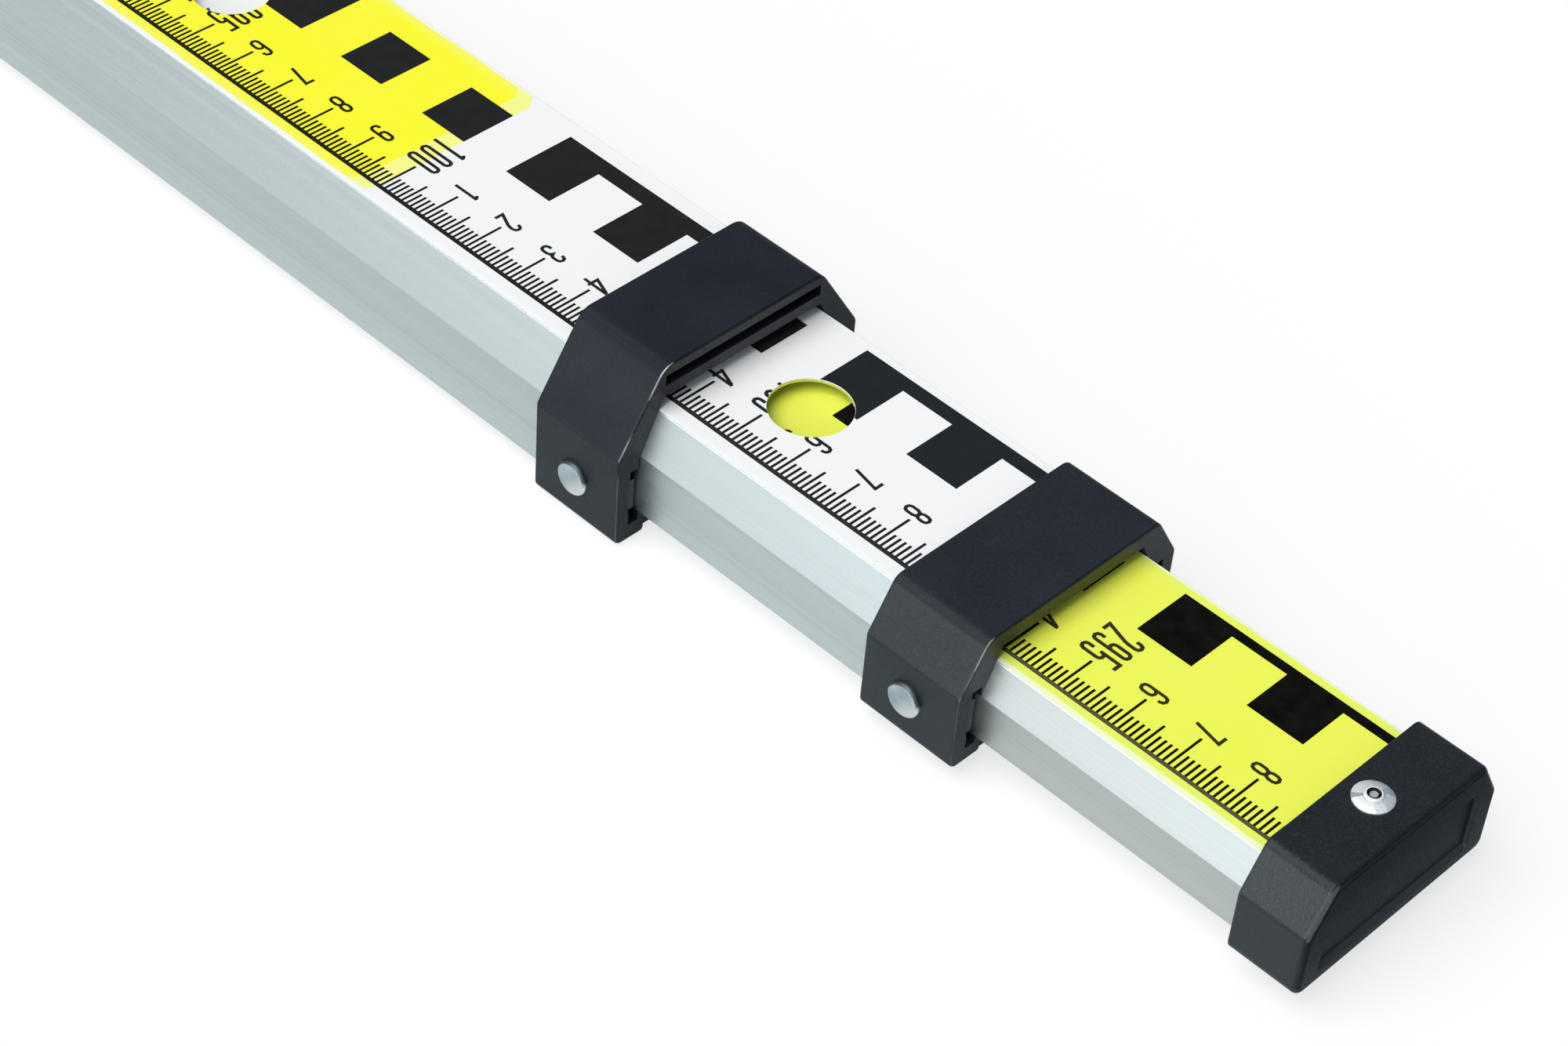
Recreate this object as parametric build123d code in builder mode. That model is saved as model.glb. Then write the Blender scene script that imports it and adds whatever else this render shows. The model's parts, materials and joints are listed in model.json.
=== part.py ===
from build123d import *
from math import hypot
import os

os.makedirs("parts", exist_ok=True)

# Telescopic leveling rod, three aluminium sections, closed and lying on its back.
# +X runs from the foot to the top cap, +Z out of the printed face, zero at the foot's contact face.

# Lengths along the closed rod, set out from the foot: each lock button comes up under its window
# when its section is drawn out, so the places of buttons and windows give the travels
SLIDE_2 = 874.2  # travel of the middle section
BUTTON_2_X = 70.3
BUTTON_STEP = 73.9  # from one section's button to the next one's
WINDOW_TO_FRONT_1, WINDOW_TO_FRONT_2 = 120.6, 52.3  # from a window to the front of its collar
COLLAR_STEP = 66.6  # the second collar's front past the first one's
CAP_STEP = 60.2  # the cap's end past the second collar's front
BUTTON_3_X = BUTTON_2_X + BUTTON_STEP
WINDOW_1_X = BUTTON_2_X + SLIDE_2
COLLAR_1_FRONT = WINDOW_1_X + WINDOW_TO_FRONT_1
COLLAR_2_FRONT = COLLAR_1_FRONT + COLLAR_STEP
WINDOW_2_X = COLLAR_2_FRONT - WINDOW_TO_FRONT_2
SLIDE_3 = WINDOW_2_X - BUTTON_3_X  # travel of the inner section, 935.2
CLOSED_LENGTH = COLLAR_2_FRONT + CAP_STEP  # 1191.9; drawn out, the mark of 3 m lies inside the cap

# Tube profiles: half width of the face and of the sides, heights of face, shoulder and back
WALL = 1.2
FACE_1, SIDE_1, TOP_1, SHOULDER_1, BACK_1 = 18.85, 23.0, 11.2, 3.1, -11.1
FACE_STEP = 1.4  # each face is narrower than the one outside it
SHOULDER_STEP = 1.15
SIDE_GAP = 1.05  # free space between one tube's inside and the next tube
BACK_GAP = 0.65
FACE_GAP_2, FACE_GAP_3 = 1.0, 1.6
EDGE_R = 0.3  # rounding of the extruded corners

FACE_2 = FACE_1 - FACE_STEP
FACE_3 = FACE_2 - FACE_STEP
SIDE_2 = SIDE_1 - WALL - SIDE_GAP
SIDE_3 = SIDE_2 - WALL - SIDE_GAP
TOP_2 = TOP_1 - WALL - FACE_GAP_2
TOP_3 = TOP_2 - WALL - FACE_GAP_3
SHOULDER_2 = SHOULDER_1 - SHOULDER_STEP
SHOULDER_3 = SHOULDER_2 - SHOULDER_STEP
BACK_2 = BACK_1 + WALL + BACK_GAP
BACK_3 = BACK_2 + WALL + BACK_GAP
TUBE_1 = (FACE_1, SIDE_1, TOP_1, SHOULDER_1, BACK_1)
TUBE_2 = (FACE_2, SIDE_2, TOP_2, SHOULDER_2, BACK_2)
TUBE_3 = (FACE_3, SIDE_3, TOP_3, SHOULDER_3, BACK_3)

# Clearances
RUN = 0.07  # running fit of a guide on its tube
FREE = 0.35  # pieces that only pass each other
PUSH = 0.05  # pushed-in pieces and rivets in their holes
REST_GAP = 0.3  # a closed section stops this far off its buffer

# Collars and cap along the rod
COLLAR_1_LENGTH, COLLAR_2_LENGTH, CAP_LENGTH = 18.0, 18.0, 12.0
COLLAR_1_REAR = COLLAR_1_FRONT - COLLAR_1_LENGTH
COLLAR_2_REAR = COLLAR_2_FRONT - COLLAR_2_LENGTH
CAP_REAR = CLOSED_LENGTH - CAP_LENGTH
FRONT_WALL = 5.0  # collar wall in front of the tube's end
TUBE_1_END = COLLAR_1_FRONT - FRONT_WALL
TUBE_2_END = COLLAR_2_FRONT - FRONT_WALL
CAP_END_WALL = 2.8
TUBE_3_END = CLOSED_LENGTH - CAP_END_WALL

# Windows in the face and the lock buttons that answer to them
WINDOW_R = 6.62
WINDOW_LIP, WINDOW_RELIEF = 0.5, 0.9  # wall left at the rim, and how much wider the hole is below it
BUTTON_R = 6.25
BUTTON_FLANGE_R = 7.2
BUTTON_PRESS = 2.0  # how far a button can be pushed in
BUTTON_POP = 2.1  # how far it springs out once it meets its window
FLANGE_T = 1.6

# Foot and guides inside the tubes
PLATE_T = 2.0
PLATE_PROUD = 0.6
SHOE_FLOOR = 8.0
SHOE_LENGTH = 24.0
BUFFER_1_T, BUFFER_2_T = 8.0, 4.0
GUIDE_FLANGE = 5.0
GUIDE_TAIL = 11.0  # guide beyond its button's centre
GUIDE_2_START = SHOE_FLOOR + BUFFER_1_T + REST_GAP
TUBE_2_START = GUIDE_2_START + GUIDE_FLANGE
GUIDE_2_END = BUTTON_2_X + GUIDE_TAIL
GUIDE_3_START = GUIDE_2_END + BUFFER_2_T + REST_GAP
TUBE_3_START = GUIDE_3_START + GUIDE_FLANGE
GUIDE_3_END = BUTTON_3_X + GUIDE_TAIL

# Printed scale film
FILM_T = 0.12
FILM_MARGIN = 0.2  # bare metal beside the film
FILM_HIDDEN_2, FILM_HIDDEN_3 = 65.1, 15.9  # film still inside the collar in front, drawn out
FILM_2_START = COLLAR_1_FRONT - SLIDE_2 - FILM_HIDDEN_2
FILM_3_START = COLLAR_2_FRONT - SLIDE_3 - FILM_HIDDEN_3

# Rivets
RIVET_HEAD_R, RIVET_HEAD_H, RIVET_SHANK_R = 3.0, 0.9, 1.6
RIVET_FLAT_R = 2.3  # the head is flat to here and rounded outside it
RIVET_TAIL_R, RIVET_TAIL_H = 2.5, 0.6
RIVET_1_Z, RIVET_2_Z = -5.8, -3.6
RIVET_1_BACK, RIVET_2_BACK = 0.3, 0.5  # how far behind the collar's middle they sit
CAP_RIVET_R, CAP_RIVET_H = 3.06, 0.95
CAP_RIVET_RING, CAP_RIVET_RING_H = 1.45, 0.25  # raised ring round the mandrel's hole
CAP_RIVET_BACK = 1.1
FLUSH_HEAD_R, FLUSH_LENGTH = 2.6, 7.0


def outline(tube, over=0.0, slant=0.0, flank=0.0, under=0.0):
    """Six corners of a tube's outline with each wall moved outward by its own distance."""
    face, side, top, shoulder, back = tube
    run = side - face
    drop = top - shoulder
    shift = slant * hypot(run, drop) / drop
    high = top + over
    half_high = face + shift + (top - high) * run / drop
    half_side = side + flank
    bend = top - (half_side - face - shift) * drop / run
    low = back - under
    right = [(half_high, high), (half_side, bend), (half_side, low)]
    left = [(-y, z) for y, z in reversed(right)]
    return left + right


# ---- Outer section -------------------------------------------------------------------------------

# Extruded tube with the round window in its face
with BuildPart() as outer_tube:
    with BuildSketch(Plane.YZ.offset(SHOE_FLOOR)) as profile:
        Polygon(*outline(TUBE_1), align=None)
        fillet(profile.vertices(), EDGE_R)
        offset(amount=-WALL, kind=Kind.INTERSECTION, mode=Mode.SUBTRACT)
    extrude(amount=TUBE_1_END - SHOE_FLOOR)
    with BuildSketch(Plane.XY.offset(TOP_1)):
        with Locations((WINDOW_1_X, 0)):
            Circle(WINDOW_R)
    extrude(amount=-WALL * 2, mode=Mode.SUBTRACT)
    # the hole is wider from below, so that only a thin rim is left round it
    with BuildSketch(Plane.XY.offset(TOP_1 - WINDOW_LIP)):
        with Locations((WINDOW_1_X, 0)):
            Circle(WINDOW_R + WINDOW_RELIEF)
    extrude(amount=-WALL * 2, mode=Mode.SUBTRACT)
    # rivet holes through both sides, under the collar and in the foot shoe
    foot_rivet_x = SHOE_FLOOR + 5.0
    collar_1_mid = COLLAR_1_FRONT - COLLAR_1_LENGTH / 2 - RIVET_1_BACK
    with BuildSketch(Plane.XZ):
        with Locations((collar_1_mid, RIVET_1_Z), (foot_rivet_x, RIVET_1_Z)):
            Circle(RIVET_SHANK_R + PUSH)
    extrude(amount=SIDE_1 + 1, both=True, mode=Mode.SUBTRACT)
outer_tube.part.label = "outer_tube"
export_step(outer_tube.part, "parts/outer_tube.step")

# Printed film on the face, open at the window
with BuildPart() as outer_scale:
    film_1_length = COLLAR_1_REAR - SHOE_LENGTH
    with BuildSketch(Plane.XY.offset(TOP_1)):
        with Locations((SHOE_LENGTH + film_1_length / 2, 0)):
            Rectangle(film_1_length, 2 * (FACE_1 - FILM_MARGIN))
        with Locations((WINDOW_1_X, 0)):
            Circle(WINDOW_R, mode=Mode.SUBTRACT)
    extrude(amount=FILM_T)
outer_scale.part.label = "outer_scale"
export_step(outer_scale.part, "parts/outer_scale.step")

# Moulded collar over the tube's end: rear pocket for the tube, close mouth for the middle section,
# a cored slot over the mouth, two rails under it and a pad pocket with notches in each side
COLLAR_1_RISE = 5.7
COLLAR_1_SIDE = SIDE_1 + 2.3
COLLAR_1_BOTTOM = BACK_1 - 2.6
COLLAR_1_FACE = FACE_1 - 2.3
SLOT_HALF, SLOT_LOW, SLOT_HIGH, SLOT_DEPTH = 16.2, 1.9, 3.85, 12.0
MOUTH_OVER_1 = 2.2
RAIL = 6.4
PAD_1_LOW, PAD_1_HIGH, NOTCH = -8.3, -2.5, 2.4
PAD_DEPTH, PAD_LENGTH, PAD_SET = 2.2, 4.2, 0.6
with BuildPart() as collar_1:
    shell = (COLLAR_1_FACE, COLLAR_1_SIDE, TOP_1 + COLLAR_1_RISE, SHOULDER_1 + 0.2, COLLAR_1_BOTTOM)
    with BuildSketch(Plane.YZ.offset(COLLAR_1_REAR)) as profile:
        Polygon(*outline(shell), align=None)
        fillet(profile.vertices().group_by(Axis.Y)[-1], 3.4)
        fillet(profile.vertices().group_by(Axis.Y)[0], 1.4)
        fillet(profile.vertices().filter_by_position(Axis.Y, SHOULDER_1, SHOULDER_1 + 0.4), 1.5)
    extrude(amount=COLLAR_1_LENGTH)
    fillet(collar_1.faces().filter_by(Axis.X).edges(), 0.45)
    with BuildSketch(Plane.YZ.offset(COLLAR_1_REAR)):
        Polygon(*outline(TUBE_1), align=None)
    extrude(amount=COLLAR_1_LENGTH - FRONT_WALL, mode=Mode.SUBTRACT)
    with BuildSketch(Plane.YZ.offset(COLLAR_1_FRONT)):
        Polygon(*outline(TUBE_2, MOUTH_OVER_1, RUN, FREE, RUN), align=None)
    extrude(amount=-FRONT_WALL, mode=Mode.SUBTRACT)
    slot_mid = TOP_1 + (SLOT_LOW + SLOT_HIGH) / 2
    with BuildSketch(Plane.YZ.offset(COLLAR_1_FRONT)):
        with Locations((0, slot_mid)):
            Rectangle(2 * SLOT_HALF, SLOT_HIGH - SLOT_LOW)
    extrude(amount=-SLOT_DEPTH, mode=Mode.SUBTRACT)
    with BuildSketch(Plane.YZ.offset(COLLAR_1_FRONT)):
        with Locations((0, COLLAR_1_BOTTOM)):
            Rectangle(2 * (COLLAR_1_SIDE - RAIL), 2.8)
    extrude(amount=-COLLAR_1_LENGTH, mode=Mode.SUBTRACT)
    rail_edges = collar_1.edges().filter_by(Axis.X).group_by(Axis.Z)[0]
    fillet(rail_edges.filter_by_position(Axis.Y, -SIDE_2, SIDE_2), 1.1)
    pad_mid = (PAD_1_LOW + PAD_1_HIGH) / 2
    pad_tall = PAD_1_HIGH - PAD_1_LOW
    with BuildSketch(Plane.YZ.offset(COLLAR_1_FRONT)):
        with Locations((SIDE_2 + PAD_DEPTH / 2, pad_mid), (-SIDE_2 - PAD_DEPTH / 2, pad_mid)):
            Rectangle(PAD_DEPTH, pad_tall)
    extrude(amount=-PAD_SET - PAD_LENGTH, mode=Mode.SUBTRACT)
    with BuildSketch(Plane.YZ.offset(COLLAR_1_FRONT)):
        with Locations((SIDE_2 + 1, pad_mid), (-SIDE_2 - 1, pad_mid)):
            Rectangle(2.0, pad_tall + 2 * NOTCH)
    extrude(amount=-2.5, mode=Mode.SUBTRACT)
    with BuildSketch(Plane.XZ):
        with Locations((collar_1_mid, RIVET_1_Z)):
            Circle(RIVET_SHANK_R + PUSH)
    extrude(amount=COLLAR_1_SIDE + 1, both=True, mode=Mode.SUBTRACT)
collar_1.part.label = "collar_1"
export_step(collar_1.part, "parts/collar_1.step")

# Slide pads in the collar's sides, bearing on the middle section
with BuildPart() as collar_1_pads:
    pad_run = PAD_DEPTH - RUN
    with BuildSketch(Plane.YZ.offset(COLLAR_1_FRONT - PAD_SET)):
        with Locations((SIDE_2 + RUN + pad_run / 2, pad_mid), (-SIDE_2 - RUN - pad_run / 2, pad_mid)):
            Rectangle(pad_run, pad_tall)
    extrude(amount=-PAD_LENGTH)
    chamfer(collar_1_pads.edges().filter_by(Axis.Z).filter_by_position(Axis.Y, -SIDE_2 - 1, SIDE_2 + 1), 0.4)
collar_1_pads.part.label = "collar_1_pads"
export_step(collar_1_pads.part, "parts/collar_1_pads.step")

# Two button-head rivets through the collar and the tube, one in each side
with BuildPart() as collar_1_rivets:
    with BuildSketch(Plane.XY.offset(RIVET_1_Z)):
        with BuildLine():
            x = collar_1_mid
            tail_in = SIDE_1 - WALL - RIVET_TAIL_H
            tail_out = SIDE_1 - WALL
            seat = COLLAR_1_SIDE
            flat = (x + RIVET_FLAT_R, seat + RIVET_HEAD_H)
            rim = (x + RIVET_HEAD_R, seat + 0.25)
            Polyline(
                flat,
                (x, seat + RIVET_HEAD_H),
                (x, tail_in),
                (x + RIVET_TAIL_R, tail_in),
                (x + RIVET_TAIL_R, tail_out),
                (x + RIVET_SHANK_R, tail_out),
                (x + RIVET_SHANK_R, seat),
                (x + RIVET_HEAD_R, seat),
                rim,
            )
            TangentArc(flat, rim, tangent=(1, 0))
        make_face()
    revolve(axis=Axis((collar_1_mid, 0, RIVET_1_Z), (0, 1, 0)))
    mirror(about=Plane.XZ)
collar_1_rivets.part.label = "collar_1_rivets"
export_step(collar_1_rivets.part, "parts/collar_1_rivets.step")

# Moulded shoe over the foot of the outer tube, with a thick floor and a seat for the steel plate
SHOE_WALL = 2.1
PLATE_MARGIN = 2.4
SCREW_Y = 13.0
SCREW_R, SCREW_HEAD_R, SCREW_HEAD_T, SCREW_LENGTH = 1.5, 2.8, 1.4, 7.0
plate_depth = PLATE_T - PLATE_PROUD
shoe_outline = outline(TUBE_1, SHOE_WALL, SHOE_WALL - 0.4, SHOE_WALL, BACK_1 - COLLAR_1_BOTTOM)
plate_outline = outline(TUBE_1, -0.3, -0.3, -0.3, -0.2)
with BuildPart() as foot_shoe:
    with BuildSketch(Plane.YZ.offset(PLATE_PROUD)) as profile:
        Polygon(*shoe_outline, align=None)
        fillet(profile.vertices(), 1.4)
    extrude(amount=SHOE_LENGTH - PLATE_PROUD)
    fillet(foot_shoe.faces().sort_by(Axis.X)[0].edges(), 0.8)
    fillet(foot_shoe.faces().sort_by(Axis.X)[-1].edges(), 0.45)
    with BuildSketch(Plane.YZ.offset(SHOE_LENGTH)):
        Polygon(*outline(TUBE_1), align=None)
    extrude(amount=SHOE_FLOOR - SHOE_LENGTH, mode=Mode.SUBTRACT)
    with BuildSketch(Plane.YZ) as profile:
        Polygon(*plate_outline, align=None)
        fillet(profile.vertices(), 1.5)
    extrude(amount=PLATE_T, mode=Mode.SUBTRACT)
    with BuildSketch(Plane.YZ.offset(PLATE_T)):
        with Locations((SCREW_Y, 0), (-SCREW_Y, 0)):
            Circle(SCREW_R + PUSH)
    extrude(amount=SCREW_LENGTH - PLATE_T + PUSH, mode=Mode.SUBTRACT)
    with BuildSketch(Plane.XZ):
        with Locations((foot_rivet_x, RIVET_1_Z)):
            Circle(RIVET_SHANK_R + PUSH)
    extrude(amount=SIDE_1 + SHOE_WALL + 1, both=True, mode=Mode.SUBTRACT)
foot_shoe.part.label = "foot_shoe"
export_step(foot_shoe.part, "parts/foot_shoe.step")

# Steel plate that stands on the mark: its outer face is the zero of the scale
with BuildPart() as foot_plate:
    with BuildSketch(Plane.YZ) as profile:
        Polygon(*plate_outline, align=None)
        fillet(profile.vertices(), 1.5)
    extrude(amount=PLATE_T)
    chamfer(foot_plate.faces().sort_by(Axis.X)[0].edges(), 0.3)
    with BuildSketch(Plane.YZ):
        with Locations((SCREW_Y, 0), (-SCREW_Y, 0)):
            Circle(SCREW_HEAD_R + PUSH)
    extrude(amount=SCREW_HEAD_T, taper=45, mode=Mode.SUBTRACT)
    with BuildSketch(Plane.YZ):
        with Locations((SCREW_Y, 0), (-SCREW_Y, 0)):
            Circle(SCREW_R + PUSH)
    extrude(amount=PLATE_T, mode=Mode.SUBTRACT)
foot_plate.part.label = "foot_plate"
export_step(foot_plate.part, "parts/foot_plate.step")

# Two countersunk screws with cross recesses, holding the plate
HEAD_SINK = 0.1
with BuildPart() as foot_screws:
    with Locations((HEAD_SINK, SCREW_Y, 0), (HEAD_SINK, -SCREW_Y, 0)):
        Cone(
            SCREW_HEAD_R - HEAD_SINK,
            SCREW_HEAD_R - SCREW_HEAD_T,
            SCREW_HEAD_T - HEAD_SINK,
            rotation=(0, 90, 0),
            align=(Align.CENTER, Align.CENTER, Align.MIN),
        )
    with BuildSketch(Plane.YZ.offset(SCREW_HEAD_T - 0.2)):
        with Locations((SCREW_Y, 0), (-SCREW_Y, 0)):
            Circle(SCREW_HEAD_R - SCREW_HEAD_T)
    extrude(amount=SCREW_LENGTH - SCREW_HEAD_T + 0.2)
    with BuildSketch(Plane.YZ.offset(HEAD_SINK)):
        with Locations((SCREW_Y, 0), (-SCREW_Y, 0)):
            Rectangle(2.8, 0.6)
            Rectangle(0.6, 2.8)
    extrude(amount=0.9, mode=Mode.SUBTRACT)
foot_screws.part.label = "foot_screws"
export_step(foot_screws.part, "parts/foot_screws.step")

# The same rivets hold the shoe
with BuildPart() as foot_rivets:
    with BuildSketch(Plane.XY.offset(RIVET_1_Z)):
        with BuildLine():
            x = foot_rivet_x
            seat = SIDE_1 + SHOE_WALL
            flat = (x + RIVET_FLAT_R, seat + RIVET_HEAD_H)
            rim = (x + RIVET_HEAD_R, seat + 0.25)
            Polyline(
                flat,
                (x, seat + RIVET_HEAD_H),
                (x, tail_in),
                (x + RIVET_TAIL_R, tail_in),
                (x + RIVET_TAIL_R, tail_out),
                (x + RIVET_SHANK_R, tail_out),
                (x + RIVET_SHANK_R, seat),
                (x + RIVET_HEAD_R, seat),
                rim,
            )
            TangentArc(flat, rim, tangent=(1, 0))
        make_face()
    revolve(axis=Axis((foot_rivet_x, 0, RIVET_1_Z), (0, 1, 0)))
    mirror(about=Plane.XZ)
foot_rivets.part.label = "foot_rivets"
export_step(foot_rivets.part, "parts/foot_rivets.step")

# Rubber block on the floor of the shoe, which the closed middle section comes down on
with BuildPart() as outer_buffer:
    with BuildSketch(Plane.YZ.offset(SHOE_FLOOR)) as profile:
        inset = -WALL - RIVET_TAIL_H - 0.5
        Polygon(*outline(TUBE_1, -WALL - 0.6, inset, inset, -WALL - 0.6), align=None)
        fillet(profile.vertices(), 2.0)
    extrude(amount=BUFFER_1_T)
    chamfer(outer_buffer.faces().sort_by(Axis.X)[-1].edges(), 0.8)
outer_buffer.part.label = "outer_buffer"
export_step(outer_buffer.part, "parts/outer_buffer.step")

# ---- Middle section ------------------------------------------------------------------------------

GUIDE_RIVET_SET = 15.0  # from the tube's foot
GUIDE_RIVET_2_X = TUBE_2_START + GUIDE_RIVET_SET
GUIDE_RIVET_3_X = TUBE_3_START + GUIDE_RIVET_SET
GUIDE_RIVET_Z = -3.0
with BuildPart() as middle_tube:
    with BuildSketch(Plane.YZ.offset(TUBE_2_START)) as profile:
        Polygon(*outline(TUBE_2), align=None)
        fillet(profile.vertices(), EDGE_R)
        offset(amount=-WALL, kind=Kind.INTERSECTION, mode=Mode.SUBTRACT)
    extrude(amount=TUBE_2_END - TUBE_2_START)
    # guide hole for the lock button near the foot, window for the next button near the top
    with BuildSketch(Plane.XY.offset(TOP_2)):
        with Locations((BUTTON_2_X, 0)):
            Circle(BUTTON_R + RUN)
        with Locations((WINDOW_2_X, 0)):
            Circle(WINDOW_R)
    extrude(amount=-WALL * 2, mode=Mode.SUBTRACT)
    with BuildSketch(Plane.XY.offset(TOP_2 - WINDOW_LIP)):
        with Locations((WINDOW_2_X, 0)):
            Circle(WINDOW_R + WINDOW_RELIEF)
    extrude(amount=-WALL * 2, mode=Mode.SUBTRACT)
    collar_2_mid = COLLAR_2_FRONT - COLLAR_2_LENGTH / 2 - RIVET_2_BACK
    with BuildSketch(Plane.XZ):
        with Locations((collar_2_mid, RIVET_2_Z)):
            Circle(RIVET_SHANK_R + PUSH)
    extrude(amount=SIDE_2 + 1, both=True, mode=Mode.SUBTRACT)
    # countersunk holes for the guide's flush rivets
    for side in (1, -1):
        flush_plane = Plane((GUIDE_RIVET_2_X, side * SIDE_2, GUIDE_RIVET_Z), z_dir=(0, -side, 0))
        with BuildSketch(flush_plane):
            Circle(FLUSH_HEAD_R + PUSH)
        extrude(amount=WALL, taper=40, mode=Mode.SUBTRACT)
middle_tube.part.label = "middle_tube"
export_step(middle_tube.part, "parts/middle_tube.step")

# Printed film, from inside the outer section up to the collar
with BuildPart() as middle_scale:
    film_2_length = COLLAR_2_REAR - FILM_2_START
    with BuildSketch(Plane.XY.offset(TOP_2)):
        with Locations((FILM_2_START + film_2_length / 2, 0)):
            Rectangle(film_2_length, 2 * (FACE_2 - FILM_MARGIN))
        with Locations((WINDOW_2_X, 0)):
            Circle(WINDOW_R, mode=Mode.SUBTRACT)
    extrude(amount=FILM_T)
middle_scale.part.label = "middle_scale"
export_step(middle_scale.part, "parts/middle_scale.step")

# Collar of the middle section: a thinner roof than the first, with no slot
COLLAR_2_SIDE = SIDE_2 + 2.5
COLLAR_2_BOTTOM = BACK_2 - 1.75
COLLAR_2_FACE = FACE_2 + 0.75
MOUTH_OVER_2 = 2.4
PAD_2_LOW, PAD_2_HIGH = -5.9, 0.4
with BuildPart() as collar_2:
    shell = (COLLAR_2_FACE, COLLAR_2_SIDE, TOP_2 + 2.4, SHOULDER_2 + 1.1, COLLAR_2_BOTTOM)
    with BuildSketch(Plane.YZ.offset(COLLAR_2_REAR)) as profile:
        Polygon(*outline(shell), align=None)
        fillet(profile.vertices().group_by(Axis.Y)[-1], 2.2)
        fillet(profile.vertices().group_by(Axis.Y)[0], 1.4)
        fillet(profile.vertices().filter_by_position(Axis.Y, SHOULDER_2 + 1, SHOULDER_2 + 1.2), 1.5)
    extrude(amount=COLLAR_2_LENGTH)
    fillet(collar_2.faces().filter_by(Axis.X).edges(), 0.45)
    with BuildSketch(Plane.YZ.offset(COLLAR_2_REAR)):
        Polygon(*outline(TUBE_2), align=None)
    extrude(amount=COLLAR_2_LENGTH - FRONT_WALL, mode=Mode.SUBTRACT)
    with BuildSketch(Plane.YZ.offset(COLLAR_2_FRONT)):
        Polygon(*outline(TUBE_3, MOUTH_OVER_2, RUN, FREE, RUN), align=None)
    extrude(amount=-FRONT_WALL, mode=Mode.SUBTRACT)
    with BuildSketch(Plane.YZ.offset(COLLAR_2_FRONT)):
        with Locations((0, COLLAR_2_BOTTOM)):
            Rectangle(2 * (COLLAR_2_SIDE - RAIL), 1.8)
    extrude(amount=-COLLAR_2_LENGTH, mode=Mode.SUBTRACT)
    rail_edges = collar_2.edges().filter_by(Axis.X).group_by(Axis.Z)[0]
    fillet(rail_edges.filter_by_position(Axis.Y, -SIDE_2, SIDE_2), 0.7)
    pad_mid = (PAD_2_LOW + PAD_2_HIGH) / 2
    pad_tall = PAD_2_HIGH - PAD_2_LOW
    with BuildSketch(Plane.YZ.offset(COLLAR_2_FRONT)):
        with Locations((SIDE_3 + PAD_DEPTH / 2, pad_mid), (-SIDE_3 - PAD_DEPTH / 2, pad_mid)):
            Rectangle(PAD_DEPTH, pad_tall)
    extrude(amount=-PAD_SET - PAD_LENGTH, mode=Mode.SUBTRACT)
    with BuildSketch(Plane.YZ.offset(COLLAR_2_FRONT)):
        with Locations((SIDE_3 + 1, pad_mid), (-SIDE_3 - 1, pad_mid)):
            Rectangle(2.0, pad_tall + 2 * NOTCH)
    extrude(amount=-2.5, mode=Mode.SUBTRACT)
    with BuildSketch(Plane.XZ):
        with Locations((collar_2_mid, RIVET_2_Z)):
            Circle(RIVET_SHANK_R + PUSH)
    extrude(amount=COLLAR_2_SIDE + 1, both=True, mode=Mode.SUBTRACT)
collar_2.part.label = "collar_2"
export_step(collar_2.part, "parts/collar_2.step")

# Slide pads bearing on the inner section
with BuildPart() as collar_2_pads:
    pad_run = PAD_DEPTH - RUN
    with BuildSketch(Plane.YZ.offset(COLLAR_2_FRONT - PAD_SET)):
        with Locations((SIDE_3 + RUN + pad_run / 2, pad_mid), (-SIDE_3 - RUN - pad_run / 2, pad_mid)):
            Rectangle(pad_run, pad_tall)
    extrude(amount=-PAD_LENGTH)
    chamfer(collar_2_pads.edges().filter_by(Axis.Z).filter_by_position(Axis.Y, -SIDE_3 - 1, SIDE_3 + 1), 0.4)
collar_2_pads.part.label = "collar_2_pads"
export_step(collar_2_pads.part, "parts/collar_2_pads.step")

# Side rivets of the second collar
with BuildPart() as collar_2_rivets:
    with BuildSketch(Plane.XY.offset(RIVET_2_Z)):
        with BuildLine():
            x = collar_2_mid
            tail_in = SIDE_2 - WALL - RIVET_TAIL_H
            tail_out = SIDE_2 - WALL
            seat = COLLAR_2_SIDE
            flat = (x + RIVET_FLAT_R, seat + RIVET_HEAD_H)
            rim = (x + RIVET_HEAD_R, seat + 0.25)
            Polyline(
                flat,
                (x, seat + RIVET_HEAD_H),
                (x, tail_in),
                (x + RIVET_TAIL_R, tail_in),
                (x + RIVET_TAIL_R, tail_out),
                (x + RIVET_SHANK_R, tail_out),
                (x + RIVET_SHANK_R, seat),
                (x + RIVET_HEAD_R, seat),
                rim,
            )
            TangentArc(flat, rim, tangent=(1, 0))
        make_face()
    revolve(axis=Axis((collar_2_mid, 0, RIVET_2_Z), (0, 1, 0)))
    mirror(about=Plane.XZ)
collar_2_rivets.part.label = "collar_2_rivets"
export_step(collar_2_rivets.part, "parts/collar_2_rivets.step")

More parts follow.
